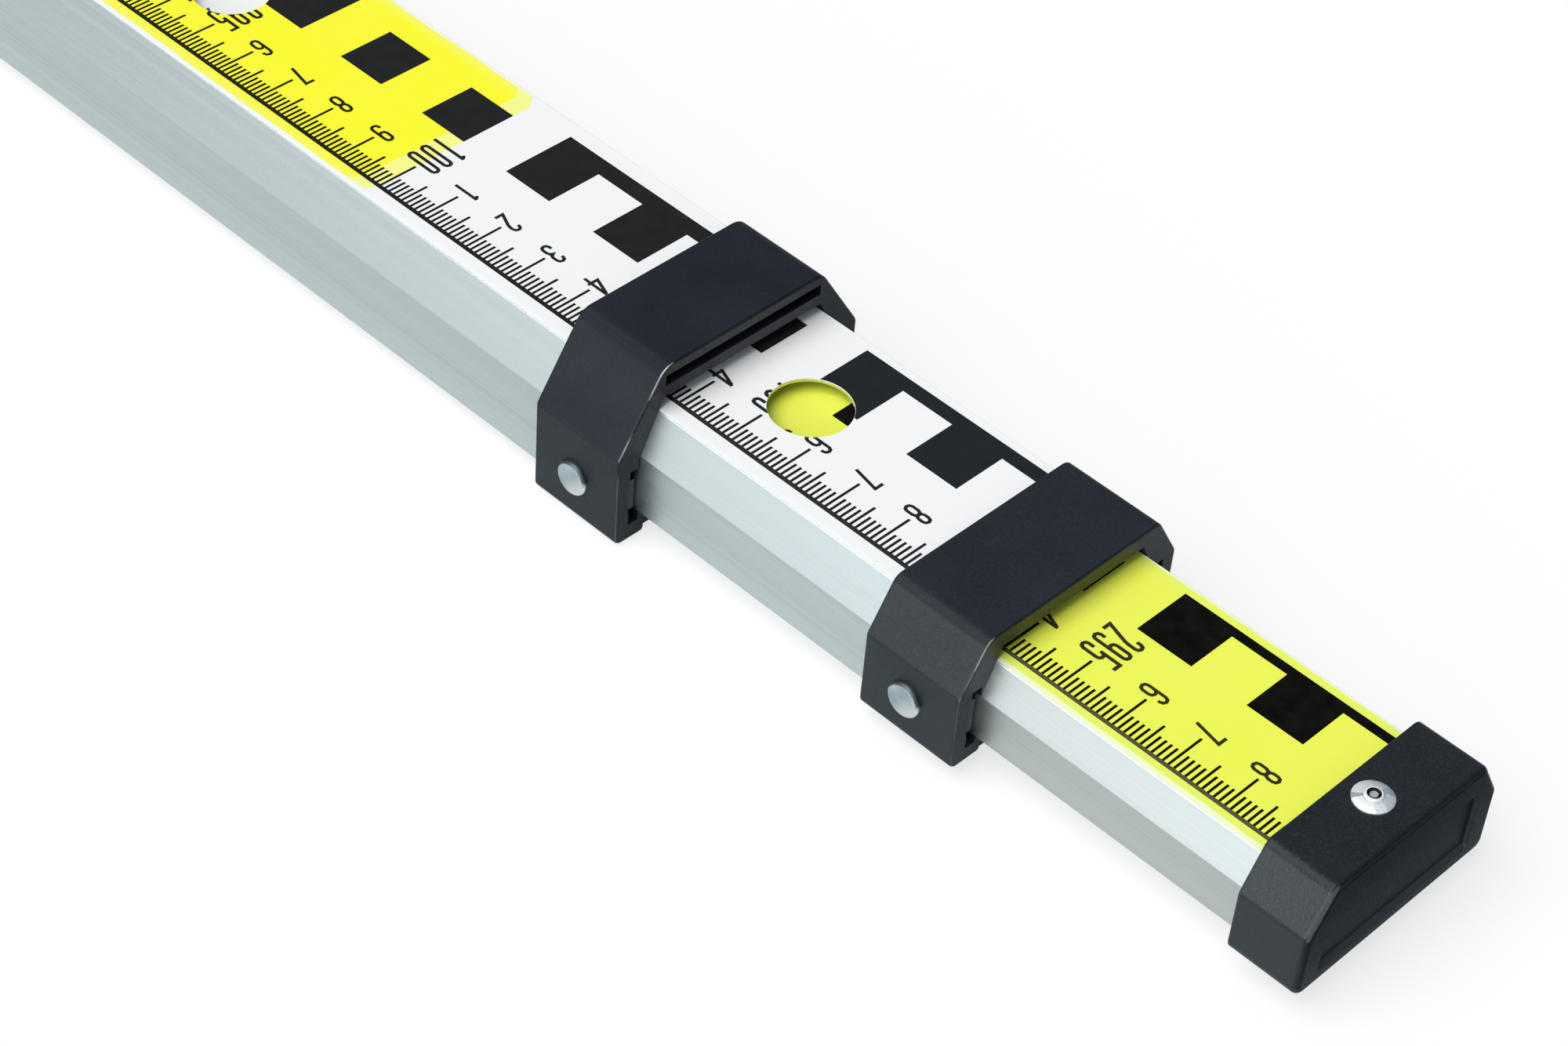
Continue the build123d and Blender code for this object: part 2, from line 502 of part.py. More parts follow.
# Moulded guide in the foot of the middle tube: a flange that runs in the outer tube, a body pushed
# into the middle tube, a well for the lock button and its spring, and a cored pocket
GUIDE_FLOOR_2, GUIDE_FLOOR_3 = 2.5, 1.8
WELL_R = BUTTON_FLANGE_R + RUN
with BuildPart() as middle_guide:
    with BuildSketch(Plane.YZ.offset(GUIDE_2_START)):
        running = -WALL - RUN
        Polygon(*outline(TUBE_1, running, running, running, running), align=None)
    extrude(amount=GUIDE_FLANGE)
    chamfer(middle_guide.faces().sort_by(Axis.X)[0].edges(), 0.8)
    with BuildSketch(Plane.YZ.offset(TUBE_2_START)):
        pushed = -WALL - PUSH
        Polygon(*outline(TUBE_2, pushed, pushed, pushed, pushed), align=None)
    extrude(amount=GUIDE_2_END - TUBE_2_START)
    with BuildSketch(Plane.XY.offset(TOP_2)):
        with Locations((BUTTON_2_X, 0)):
            Circle(WELL_R)
    well_2_floor = BACK_2 + WALL + GUIDE_FLOOR_2
    extrude(amount=well_2_floor - TOP_2, mode=Mode.SUBTRACT)
    with BuildSketch(Plane.XY.offset(TOP_2)):
        pocket_start = TUBE_2_START + 3.0
        pocket_end = BUTTON_2_X - WELL_R - 3.0
        for row in (-1, 1):
            with Locations(((pocket_start + pocket_end) / 2, row * 6.2)):
                Rectangle(pocket_end - pocket_start, 10.0)
    extrude(amount=well_2_floor - TOP_2, mode=Mode.SUBTRACT)
    with BuildSketch(Plane.XZ):
        with Locations((GUIDE_RIVET_2_X, GUIDE_RIVET_Z)):
            Circle(RIVET_SHANK_R + PUSH)
    extrude(amount=SIDE_2, both=True, mode=Mode.SUBTRACT)
middle_guide.part.label = "middle_guide"
export_step(middle_guide.part, "parts/middle_guide.step")

# Flush countersunk rivets that hold the guide in the tube, clear of the outer tube's wall
with BuildPart() as middle_guide_rivets:
    for side in (1, -1):
        flush_plane = Plane((GUIDE_RIVET_2_X, side * (SIDE_2 - PUSH), GUIDE_RIVET_Z), z_dir=(0, -side, 0))
        with BuildSketch(flush_plane):
            Circle(FLUSH_HEAD_R - PUSH)
        extrude(amount=WALL - PUSH, taper=40)
        with BuildSketch(flush_plane):
            Circle(RIVET_SHANK_R)
        extrude(amount=FLUSH_LENGTH)
middle_guide_rivets.part.label = "middle_guide_rivets"
export_step(middle_guide_rivets.part, "parts/middle_guide_rivets.step")

# Rubber block on the guide's top, which the closed inner section comes down on
with BuildPart() as middle_buffer:
    with BuildSketch(Plane.YZ.offset(GUIDE_2_END)) as profile:
        inset = -WALL - 0.6
        Polygon(*outline(TUBE_2, inset, inset, inset, inset), align=None)
        fillet(profile.vertices(), 2.0)
    extrude(amount=BUFFER_2_T)
    chamfer(middle_buffer.faces().sort_by(Axis.X)[-1].edges(), 0.6)
middle_buffer.part.label = "middle_buffer"
export_step(middle_buffer.part, "parts/middle_buffer.step")

# Lock button of the middle section: a flanged cup, held down by the outer tube's wall when closed
UNDER_WALL = 0.45
button_2_top = TOP_1 - WALL - UNDER_WALL
button_2_flange = TOP_2 - WALL - BUTTON_POP
CUP_R, CUP_ROOF = 5.2, 1.5
with BuildPart() as lock_button_2:
    with BuildSketch(Plane.XY.offset(button_2_flange - FLANGE_T)):
        with Locations((BUTTON_2_X, 0)):
            Circle(BUTTON_FLANGE_R)
    extrude(amount=FLANGE_T)
    with BuildSketch(Plane.XY.offset(button_2_flange)):
        with Locations((BUTTON_2_X, 0)):
            Circle(BUTTON_R)
    extrude(amount=button_2_top - button_2_flange)
    fillet(lock_button_2.faces().sort_by(Axis.Z)[-1].edges(), 0.6)
    with BuildSketch(Plane.XY.offset(button_2_flange - FLANGE_T)):
        with Locations((BUTTON_2_X, 0)):
            Circle(CUP_R)
    extrude(amount=button_2_top - CUP_ROOF - button_2_flange + FLANGE_T, mode=Mode.SUBTRACT)
lock_button_2.part.label = "lock_button_2"
export_step(lock_button_2.part, "parts/lock_button_2.step")

# Coil spring between the well's floor and the button's roof
SPRING_R, SPRING_WIRE = 4.3, 0.8
with BuildPart() as lock_spring_2:
    spring_low = well_2_floor + SPRING_WIRE / 2 + PUSH
    spring_high = button_2_top - CUP_ROOF - SPRING_WIRE / 2 - PUSH
    with BuildLine() as coil:
        Helix(
            pitch=(spring_high - spring_low) / 4.5,
            height=spring_high - spring_low,
            radius=SPRING_R,
            center=(BUTTON_2_X, 0, spring_low),
        )
    with BuildSketch(Plane(origin=coil.line @ 0, z_dir=coil.line % 0)):
        Circle(SPRING_WIRE / 2)
    sweep(is_frenet=True)
lock_spring_2.part.label = "lock_spring_2"
export_step(lock_spring_2.part, "parts/lock_spring_2.step")

# ---- Inner section -------------------------------------------------------------------------------

with BuildPart() as inner_tube:
    with BuildSketch(Plane.YZ.offset(TUBE_3_START)) as profile:
        Polygon(*outline(TUBE_3), align=None)
        fillet(profile.vertices(), EDGE_R)
        offset(amount=-WALL, kind=Kind.INTERSECTION, mode=Mode.SUBTRACT)
    extrude(amount=TUBE_3_END - TUBE_3_START)
    cap_rivet_x = CLOSED_LENGTH - CAP_LENGTH / 2 - CAP_RIVET_BACK
    with BuildSketch(Plane.XY.offset(TOP_3)):
        with Locations((BUTTON_3_X, 0)):
            Circle(BUTTON_R + RUN)
        with Locations((cap_rivet_x, 0)):
            Circle(RIVET_SHANK_R + PUSH)
    extrude(amount=-WALL * 2, mode=Mode.SUBTRACT)
    for side in (1, -1):
        flush_plane = Plane((GUIDE_RIVET_3_X, side * SIDE_3, GUIDE_RIVET_Z), z_dir=(0, -side, 0))
        with BuildSketch(flush_plane):
            Circle(FLUSH_HEAD_R + PUSH)
        extrude(amount=WALL, taper=40, mode=Mode.SUBTRACT)
inner_tube.part.label = "inner_tube"
export_step(inner_tube.part, "parts/inner_tube.step")

# Printed film, from inside the middle section up to the cap
with BuildPart() as inner_scale:
    film_3_length = CAP_REAR - FILM_3_START
    with BuildSketch(Plane.XY.offset(TOP_3)):
        with Locations((FILM_3_START + film_3_length / 2, 0)):
            Rectangle(film_3_length, 2 * (FACE_3 - FILM_MARGIN))
    extrude(amount=FILM_T)
inner_scale.part.label = "inner_scale"
export_step(inner_scale.part, "parts/inner_scale.step")

# Moulded cap over the top end, with rounded end edges and a shallow panel sunk in its end face
CAP_SIDE = SIDE_3 + 2.3
CAP_BOTTOM = BACK_3 - 1.8
CAP_TOP = TOP_3 + 3.5
PANEL_DEPTH, PANEL_LIP, PANEL_SLOPE = 0.7, 0.1, 0.9
with BuildPart() as top_cap:
    shell = (FACE_3 + 0.4, CAP_SIDE, CAP_TOP, SHOULDER_3 + 1.5, CAP_BOTTOM)
    with BuildSketch(Plane.YZ.offset(CAP_REAR)) as profile:
        Polygon(*outline(shell), align=None)
        fillet(profile.vertices().group_by(Axis.Y)[-1], 2.0)
        fillet(profile.vertices().group_by(Axis.Y)[0], 1.8)
        fillet(profile.vertices().filter_by_position(Axis.Y, SHOULDER_3 + 1.4, SHOULDER_3 + 1.6), 1.6)
    extrude(amount=CAP_LENGTH)
    fillet(top_cap.faces().sort_by(Axis.X)[-1].edges(), 1.0)
    fillet(top_cap.faces().sort_by(Axis.X)[0].edges(), 0.3)
    with BuildSketch(Plane.YZ.offset(CAP_REAR)):
        Polygon(*outline(TUBE_3), align=None)
    extrude(amount=TUBE_3_END - CAP_REAR, mode=Mode.SUBTRACT)
    with BuildSketch(Plane.YZ.offset(CLOSED_LENGTH)) as profile:
        Polygon(*outline(shell, -4.7, -3.4, -4.2, -2.3), align=None)
        fillet(profile.vertices(), 1.0)
    extrude(amount=-PANEL_DEPTH, mode=Mode.SUBTRACT)
    panel_x = CLOSED_LENGTH - PANEL_DEPTH
    panel = top_cap.faces().filter_by_position(Axis.X, panel_x - 0.01, panel_x + 0.01)
    fillet(panel.edges(), 0.4)
    # the panel's lower wall slopes up to its floor
    panel_low = CAP_BOTTOM + 2.3
    with BuildSketch(Plane.XZ):
        Polygon(
            (panel_x - 0.3, panel_low - 0.3),
            (CLOSED_LENGTH - PANEL_LIP, panel_low - 0.3),
            (CLOSED_LENGTH - PANEL_LIP, panel_low),
            (panel_x, panel_low + PANEL_SLOPE),
            (panel_x - 0.3, panel_low + PANEL_SLOPE),
            align=None,
        )
    extrude(amount=CAP_SIDE - 4.0, both=True)
    with BuildSketch(Plane.XY.offset(CAP_TOP)):
        with Locations((cap_rivet_x, 0)):
            Circle(RIVET_SHANK_R + PUSH)
    extrude(amount=TOP_3 - CAP_TOP - 1.0, mode=Mode.SUBTRACT)
top_cap.part.label = "top_cap"
export_step(top_cap.part, "parts/top_cap.step")

# Blind rivet down through the cap and the tube's face: domed flange, shank and pulled tail
MANDREL_R, MANDREL_HOLE = 0.6, 1.0
with BuildPart() as cap_rivet:
    with BuildSketch(Plane.XZ):
        with BuildLine():
            x = cap_rivet_x
            tail_z = TOP_3 - WALL
            ring_top = CAP_TOP + CAP_RIVET_H
            neck = (x + CAP_RIVET_RING, ring_top - CAP_RIVET_RING_H)
            rim = (x + CAP_RIVET_R, CAP_TOP + 0.2)
            Polyline(
                neck,
                (x + CAP_RIVET_RING - 0.18, ring_top),
                (x, ring_top),
                (x, tail_z - 1.6),
                (x + 2.2, tail_z - 1.6),
                (x + 2.2, tail_z),
                (x + RIVET_SHANK_R, tail_z),
                (x + RIVET_SHANK_R, CAP_TOP),
                (x + CAP_RIVET_R, CAP_TOP),
                rim,
            )
            TangentArc(neck, rim, tangent=(1, 0))
        make_face()
    revolve(axis=Axis((cap_rivet_x, 0, 0), (0, 0, 1)))
    with BuildSketch(Plane.XY.offset(CAP_TOP + CAP_RIVET_H)):
        with Locations((cap_rivet_x, 0)):
            Circle(MANDREL_HOLE)
    extrude(amount=-4.0, mode=Mode.SUBTRACT)
cap_rivet.part.label = "cap_rivet"
export_step(cap_rivet.part, "parts/cap_rivet.step")

# Broken end of the rivet's mandrel in the middle of the flange
with BuildPart() as cap_rivet_pin:
    pin_base = CAP_TOP + CAP_RIVET_H - 4.0
    with BuildSketch(Plane.XY.offset(pin_base)):
        with Locations((cap_rivet_x, 0)):
            Circle(MANDREL_HOLE - PUSH)
    extrude(amount=3.0)
    with BuildSketch(Plane.XY.offset(pin_base + 3.0)):
        with Locations((cap_rivet_x, 0)):
            Circle(MANDREL_R)
    extrude(amount=0.8)
cap_rivet_pin.part.label = "cap_rivet_pin"
export_step(cap_rivet_pin.part, "parts/cap_rivet_pin.step")

# Guide in the foot of the inner tube, made like the one below it
with BuildPart() as inner_guide:
    with BuildSketch(Plane.YZ.offset(GUIDE_3_START)):
        Polygon(*outline(TUBE_2, running, running, running, running), align=None)
    extrude(amount=GUIDE_FLANGE)
    chamfer(inner_guide.faces().sort_by(Axis.X)[0].edges(), 0.8)
    with BuildSketch(Plane.YZ.offset(TUBE_3_START)):
        Polygon(*outline(TUBE_3, pushed, pushed, pushed, pushed), align=None)
    extrude(amount=GUIDE_3_END - TUBE_3_START)
    with BuildSketch(Plane.XY.offset(TOP_3)):
        with Locations((BUTTON_3_X, 0)):
            Circle(WELL_R)
    well_3_floor = BACK_3 + WALL + GUIDE_FLOOR_3
    extrude(amount=well_3_floor - TOP_3, mode=Mode.SUBTRACT)
    with BuildSketch(Plane.XY.offset(TOP_3)):
        pocket_start = TUBE_3_START + 3.0
        pocket_end = BUTTON_3_X - WELL_R - 3.0
        for row in (-1, 1):
            with Locations(((pocket_start + pocket_end) / 2, row * 5.2)):
                Rectangle(pocket_end - pocket_start, 8.0)
    extrude(amount=well_3_floor - TOP_3, mode=Mode.SUBTRACT)
    with BuildSketch(Plane.XZ):
        with Locations((GUIDE_RIVET_3_X, GUIDE_RIVET_Z)):
            Circle(RIVET_SHANK_R + PUSH)
    extrude(amount=SIDE_3, both=True, mode=Mode.SUBTRACT)
inner_guide.part.label = "inner_guide"
export_step(inner_guide.part, "parts/inner_guide.step")

# Flush rivets of the inner guide
with BuildPart() as inner_guide_rivets:
    for side in (1, -1):
        flush_plane = Plane((GUIDE_RIVET_3_X, side * (SIDE_3 - PUSH), GUIDE_RIVET_Z), z_dir=(0, -side, 0))
        with BuildSketch(flush_plane):
            Circle(FLUSH_HEAD_R - PUSH)
        extrude(amount=WALL - PUSH, taper=40)
        with BuildSketch(flush_plane):
            Circle(RIVET_SHANK_R)
        extrude(amount=FLUSH_LENGTH)
inner_guide_rivets.part.label = "inner_guide_rivets"
export_step(inner_guide_rivets.part, "parts/inner_guide_rivets.step")

# Lock button of the inner section, held down by the middle tube's wall when closed
button_3_top = TOP_2 - WALL - UNDER_WALL
button_3_flange = TOP_3 - WALL - BUTTON_POP
with BuildPart() as lock_button_3:
    with BuildSketch(Plane.XY.offset(button_3_flange - FLANGE_T)):
        with Locations((BUTTON_3_X, 0)):
            Circle(BUTTON_FLANGE_R)
    extrude(amount=FLANGE_T)
    with BuildSketch(Plane.XY.offset(button_3_flange)):
        with Locations((BUTTON_3_X, 0)):
            Circle(BUTTON_R)
    extrude(amount=button_3_top - button_3_flange)
    fillet(lock_button_3.faces().sort_by(Axis.Z)[-1].edges(), 0.6)
    with BuildSketch(Plane.XY.offset(button_3_flange - FLANGE_T)):
        with Locations((BUTTON_3_X, 0)):
            Circle(CUP_R)
    extrude(amount=button_3_top - CUP_ROOF - button_3_flange + FLANGE_T, mode=Mode.SUBTRACT)
lock_button_3.part.label = "lock_button_3"
export_step(lock_button_3.part, "parts/lock_button_3.step")

# Coil spring of the inner section's button
with BuildPart() as lock_spring_3:
    spring_low = well_3_floor + SPRING_WIRE / 2 + PUSH
    spring_high = button_3_top - CUP_ROOF - SPRING_WIRE / 2 - PUSH
    with BuildLine() as coil:
        Helix(
            pitch=(spring_high - spring_low) / 4.5,
            height=spring_high - spring_low,
            radius=SPRING_R,
            center=(BUTTON_3_X, 0, spring_low),
        )
    with BuildSketch(Plane(origin=coil.line @ 0, z_dir=coil.line % 0)):
        Circle(SPRING_WIRE / 2)
    sweep(is_frenet=True)
lock_spring_3.part.label = "lock_spring_3"
export_step(lock_spring_3.part, "parts/lock_spring_3.step")
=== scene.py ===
import json
from math import cos, pi, radians, sin

import bmesh
import bpy
from mathutils import Matrix, Vector

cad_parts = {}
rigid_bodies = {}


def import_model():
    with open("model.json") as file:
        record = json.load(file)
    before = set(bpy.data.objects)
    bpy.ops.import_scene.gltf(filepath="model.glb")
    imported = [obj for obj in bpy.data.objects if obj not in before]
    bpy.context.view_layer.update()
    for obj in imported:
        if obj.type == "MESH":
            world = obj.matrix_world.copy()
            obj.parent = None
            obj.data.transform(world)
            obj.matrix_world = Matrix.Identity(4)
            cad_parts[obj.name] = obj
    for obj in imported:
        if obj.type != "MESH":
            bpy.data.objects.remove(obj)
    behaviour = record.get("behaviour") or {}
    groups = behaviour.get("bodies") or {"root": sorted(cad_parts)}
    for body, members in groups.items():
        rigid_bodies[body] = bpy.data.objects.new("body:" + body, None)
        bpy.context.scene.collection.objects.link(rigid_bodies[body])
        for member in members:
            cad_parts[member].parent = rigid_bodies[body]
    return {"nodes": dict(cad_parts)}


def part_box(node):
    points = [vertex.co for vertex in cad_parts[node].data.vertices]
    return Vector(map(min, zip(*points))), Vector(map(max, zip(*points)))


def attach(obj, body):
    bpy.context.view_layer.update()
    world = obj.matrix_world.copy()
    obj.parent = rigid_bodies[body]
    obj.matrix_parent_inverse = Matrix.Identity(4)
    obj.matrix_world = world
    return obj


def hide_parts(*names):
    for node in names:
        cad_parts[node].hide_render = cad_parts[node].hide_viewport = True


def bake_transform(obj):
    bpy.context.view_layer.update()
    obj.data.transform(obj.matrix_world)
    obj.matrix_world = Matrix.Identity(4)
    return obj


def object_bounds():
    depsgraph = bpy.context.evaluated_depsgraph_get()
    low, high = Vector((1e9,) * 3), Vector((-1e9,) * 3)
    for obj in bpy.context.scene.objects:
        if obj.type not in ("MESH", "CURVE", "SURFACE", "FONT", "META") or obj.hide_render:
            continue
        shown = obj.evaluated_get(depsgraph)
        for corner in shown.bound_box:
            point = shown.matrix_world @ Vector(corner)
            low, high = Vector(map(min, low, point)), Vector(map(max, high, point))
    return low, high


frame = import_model()
cad_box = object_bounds()

# ---- Outer tube ----------------------------------------------------------------------------------
# A six-sided aluminium extrusion with a thin wall, hollow for the sections that slide in it. It is
# satin anodised after extruding, so the die's fine lines run along its whole length. The round
# window in its face is bored last, which leaves bare metal in the window's wall and a ragged burr.
# The wall's colour is darkened and yellowed with painted shade and a painted reflection of the
# film, and the burr's paler tone holds a painted reflection of the film.

MM = 0.001
WINDOW_RADIUS = 6.64 * MM
OUTER_WINDOW = 944.5 * MM  # middle of the window, from the foot
WINDOW_MARGIN = 0.05 * MM  # metal this near to the bore is its wall
WINDOW_DEPTH = 2 * MM  # the wall ends above this depth
BURR_OVER, BURR_STRAY = 0.1 * MM, 0.5 * MM  # the burr starts so far over the face, less a stray
BURR_PATCHES = 900.0  # in a metre
DIE_LINES, DIE_BANDS = (3.0, 2600.0, 2600.0), (1.5, 330.0, 330.0)  # in a metre, each way
DIE_LINE_DEPTH = 0.004 * MM
LINE_SHARE, BAND_SHARE = 0.6, 0.4  # in the colour
SATIN_ROUGHNESS = (0.46, 0.34)  # between the lines and on them
BORED_ROUGHNESS, BURR_ROUGHNESS = 0.07, 0.6
NEARLY_ALL, MOST = (0.3, 0.7), (0.35, 0.65)  # where nearly all and where most of a noise lies


def put(tree, kind, feeds=None, **settings):
    """Adds a node; feeds gives its inputs a value or the output of another node."""
    node = tree.nodes.new(kind)
    for key, value in settings.items():
        setattr(node, key, value)
    for key, value in (feeds or {}).items():
        if isinstance(value, bpy.types.NodeSocket):
            tree.links.new(value, node.inputs[key])
        else:
            node.inputs[key].default_value = value
    return node


def calc(tree, operation, *values):
    """The result of one Math node."""
    return put(tree, "ShaderNodeMath", dict(enumerate(values)), operation=operation).outputs[0]


def vector_calc(tree, operation, *values):
    """The outputs of one Vector Math node."""
    return put(tree, "ShaderNodeVectorMath", dict(enumerate(values)), operation=operation).outputs


def ramp(tree, value, start, end, low=0.0, high=1.0):
    """Goes evenly from low to high while the value goes from start to end."""
    feeds = {"Value": value, "From Min": start, "From Max": end, "To Min": low, "To Max": high}
    return put(tree, "ShaderNodeMapRange", feeds).outputs["Result"]


def evened(tree, noise, low=0.0, high=1.0):
    """The middle of a noise stretched, so that it goes from low to high."""
    return ramp(tree, noise, *NEARLY_ALL, low, high)


def in_place(tree):
    """Where the surface is, in the piece's own coordinates."""
    return put(tree, "ShaderNodeTexCoord").outputs["Object"]


def parts(tree, vector):
    """A vector's three parts: along the rod, across it and up."""
    return put(tree, "ShaderNodeSeparateXYZ", {0: vector}).outputs


def mottle(tree, patches, detail=3.0, rough=0.5):
    """Noise in the piece's own coordinates; patches is how many there are in a metre, each way."""
    if isinstance(patches, float):
        patches = (patches, patches, patches)
    spread = put(tree, "ShaderNodeMapping", {"Vector": in_place(tree), "Scale": patches}).outputs[0]
    feeds = {"Vector": spread, "Scale": 1.0, "Detail": detail, "Roughness": rough}
    return put(tree, "ShaderNodeTexNoise", feeds).outputs[0]


def mixed(tree, factor, first, second):
    """A colour that goes from the first to the second with the factor."""
    return put(tree, "ShaderNodeMix", {0: factor, 6: first, 7: second}, data_type="RGBA").outputs[2]


def shade(red, green, blue):
    """A colour in light values from its everyday 0 to 255 numbers."""
    light = []
    for part in (red, green, blue):
        part = part / 255
        light.append(part / 12.92 if part < 0.04045 else ((part + 0.055) / 1.055) ** 2.4)
    return (*light, 1.0)


def finish(name, **constants):
    """A new material with its constant shader values set; gives it, its tree and its shader."""
    material = bpy.data.materials.new(name)
    material.use_nodes = True
    shader = material.node_tree.nodes["Principled BSDF"]
    for key, value in constants.items():
        shader.inputs[key.replace("_", " ")].default_value = value
    return material, material.node_tree, shader


def colour_surface(tree, shader, colour, roughness=None):
    """Gives the surface its colour, and its roughness where that varies."""
    tree.links.new(colour, shader.inputs["Base Color"])
    if roughness is not None:
        tree.links.new(roughness, shader.inputs["Roughness"])


def rough_surface(tree, shader, heights, depth):
    """Raises and lowers the surface by a small depth in metres."""
    bump = put(tree, "ShaderNodeBump", {"Height": heights, "Strength": 1.0, "Distance": depth})
    tree.links.new(bump.outputs[0], shader.inputs["Normal"])


def dress(node, material):
    """Gives a solid its finish."""
    for place in frame["nodes"][node].material_slots:
        place.material = material


def off_axis(tree, x, z=0.0, upright=True):
    """How the surface lies from an axis at x, as a vector, and how far off it is.

    The axis stands upright, or lies across the rod at the height z.
    """
    keep = (1.0, 1.0, 0.0) if upright else (1.0, 0.0, 1.0)
    apart = vector_calc(tree, "SUBTRACT", in_place(tree), (x, 0.0, z))["Vector"]
    apart = vector_calc(tree, "MULTIPLY", apart, keep)["Vector"]
    return apart, vector_calc(tree, "LENGTH", apart)["Value"]


# painted shade and a painted reflection of the yellow film in the window's wall, and a painted
# reflection in its burr
bored_wall_shade_and_reflection, burr_painted_reflection = shade(200, 202, 186), shade(226, 224, 206)


def anodised(name, dull, bright, window_x=None, face=0.0):
    """Satin anodised aluminium with lengthwise die lines, and a window bored through the face, its
    wall and burr coloured with painted shade and a painted reflection of the film.
    """
    material, tree, shader = finish(name, Metallic=1.0)
    lines = mottle(tree, DIE_LINES, detail=4.0, rough=0.7)
    bands = calc(tree, "MULTIPLY", mottle(tree, DIE_BANDS, detail=2.0), BAND_SHARE)
    both = calc(tree, "ADD", calc(tree, "MULTIPLY", lines, LINE_SHARE), bands)
    colour = mixed(tree, evened(tree, both), dull, bright)
    roughness = evened(tree, lines, *SATIN_ROUGHNESS)
    if window_x is not None:
        height = parts(tree, in_place(tree))[2]
        wall = calc(tree, "LESS_THAN", off_axis(tree, window_x)[1], WINDOW_RADIUS + WINDOW_MARGIN)
        above = calc(tree, "GREATER_THAN", height, face - WINDOW_DEPTH)
        wall = calc(tree, "MULTIPLY", wall, above)
        stray = calc(tree, "MULTIPLY", mottle(tree, BURR_PATCHES), BURR_STRAY)
        burr = calc(tree, "GREATER_THAN", calc(tree, "ADD", height, stray), face + BURR_OVER)
        # the window's wall and burr take their painted shade and painted reflection here
        colour = mixed(tree, wall, colour, mixed(tree, burr, bored_wall_shade_and_reflection, burr_painted_reflection))
        bare = ramp(tree, burr, 0.0, 1.0, BORED_ROUGHNESS, BURR_ROUGHNESS)
        roughness = ramp(tree, wall, 0.0, 1.0, roughness, bare)
    colour_surface(tree, shader, colour, roughness)
    rough_surface(tree, shader, lines, DIE_LINE_DEPTH)
    return material


outer_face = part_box("outer_tube")[1].z
outer_dull, outer_bright = shade(198, 204, 204), shade(223, 228, 228)
outer_metal = anodised("anodised_outer", outer_dull, outer_bright, OUTER_WINDOW, outer_face)
dress("outer_tube", outer_metal)

# ---- Scale film of the outer section -------------------------------------------------------------
# A printed plastic film stuck to the tube's face. Yellow covers the first metre and ends in a short
# lap, under which the white of the second metre begins. The colour pales towards both long edges
# and leaves a narrow rim of the film free.

LAP_START, WHITE_START = 0.9965, 1.0  # metres from the foot
PRINT_STRAY, END_SHARE = 0.9 * MM, 0.6  # how unevenly the colours end, and less so along the rod
STRAY_PATCHES, CLOUD_PATCHES = (90.0, 260.0, 1.0), (40.0, 60.0, 1.0)  # in a metre, each way
CORNER_CUT, CORNER_REACH = 1.6 * MM, (0.4 * MM, 2.6 * MM)  # a colour's end is clipped at the edges
FAR_SHIFT = 0.45 * MM  # the colours reach this much nearer to the far edge
FADE_REACH, FADE = (3.0 * MM, 1.0 * MM), 0.22  # from the film's edges, and how pale at most
RIM_REACH = (0.85 * MM, 0.65 * MM)
FILM_CLOUDS, FILM_ROUGHNESS = 0.035, 0.42
FILM_GRAIN, FILM_GRAIN_DEPTH = (420.0, 420.0, 1.0), 0.006 * MM

film_yellow, lap_yellow = shade(253, 250, 34), shade(250, 250, 140)
film_white, film_cloud = shade(245, 245, 246), shade(226, 228, 214)
faded_yellow, film_rim = shade(240, 246, 190), shade(247, 249, 250)


def scale_film(name, half_width, colours, faded, rim):
    """Film whose colours start at given places along the rod, and fade towards its rims.

    Faded is the paler tone beside the rims; the last of several colours keeps its own there.
    """
    material, tree, shader = finish(name, Roughness=FILM_ROUGHNESS)
    along, across, _ = parts(tree, in_place(tree))
    stray = calc(tree, "SUBTRACT", mottle(tree, STRAY_PATCHES), 0.5)
    stray = calc(tree, "MULTIPLY", stray, PRINT_STRAY)
    from_edge = calc(tree, "SUBTRACT", half_width, calc(tree, "ABSOLUTE", across))
    clipped = ramp(tree, from_edge, *CORNER_REACH, CORNER_CUT, 0.0)
    clipped = calc(tree, "ADD", clipped, calc(tree, "MULTIPLY", stray, END_SHARE))
    reach = calc(tree, "ADD", along, clipped)
    colour = colours[0][1]
    for start, next_colour in colours[1:]:
        past = calc(tree, "GREATER_THAN", reach, start)
        colour = mixed(tree, past, colour, next_colour)
    if len(colours) > 1:
        faded = mixed(tree, past, faded, colours[-1][1])
    far_side = calc(tree, "GREATER_THAN", across, 0.0)
    shift = calc(tree, "ADD", stray, calc(tree, "MULTIPLY", far_side, FAR_SHIFT))
    edge = calc(tree, "ADD", from_edge, shift)
    colour = mixed(tree, ramp(tree, edge, *FADE_REACH, 0.0, FADE), colour, faded)
    colour = mixed(tree, ramp(tree, edge, *RIM_REACH), colour, rim)
    clouds = evened(tree, mottle(tree, CLOUD_PATCHES, detail=2.0), 0.0, FILM_CLOUDS)
    colour_surface(tree, shader, mixed(tree, clouds, colour, film_cloud))
    rough_surface(tree, shader, mottle(tree, FILM_GRAIN, detail=2.0), FILM_GRAIN_DEPTH)
    return material


outer_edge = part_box("outer_scale")[1].y
outer_colours = [(0.0, film_yellow), (LAP_START, lap_yellow), (WHITE_START, film_white)]
outer_film = scale_film("scale_film_outer", outer_edge, outer_colours, faded_yellow, film_rim)
dress("outer_scale", outer_film)

# ---- Printing on the outer section's film --------------------------------------------------------
# Black screen printing: a millimetre scale on a heavy line along the near edge, centimetre numbers,
# full numbers at every fifth centimetre, and the block pattern that is read through a level. The
# ink lies on the film in one thin layer and is cut away where the window is.

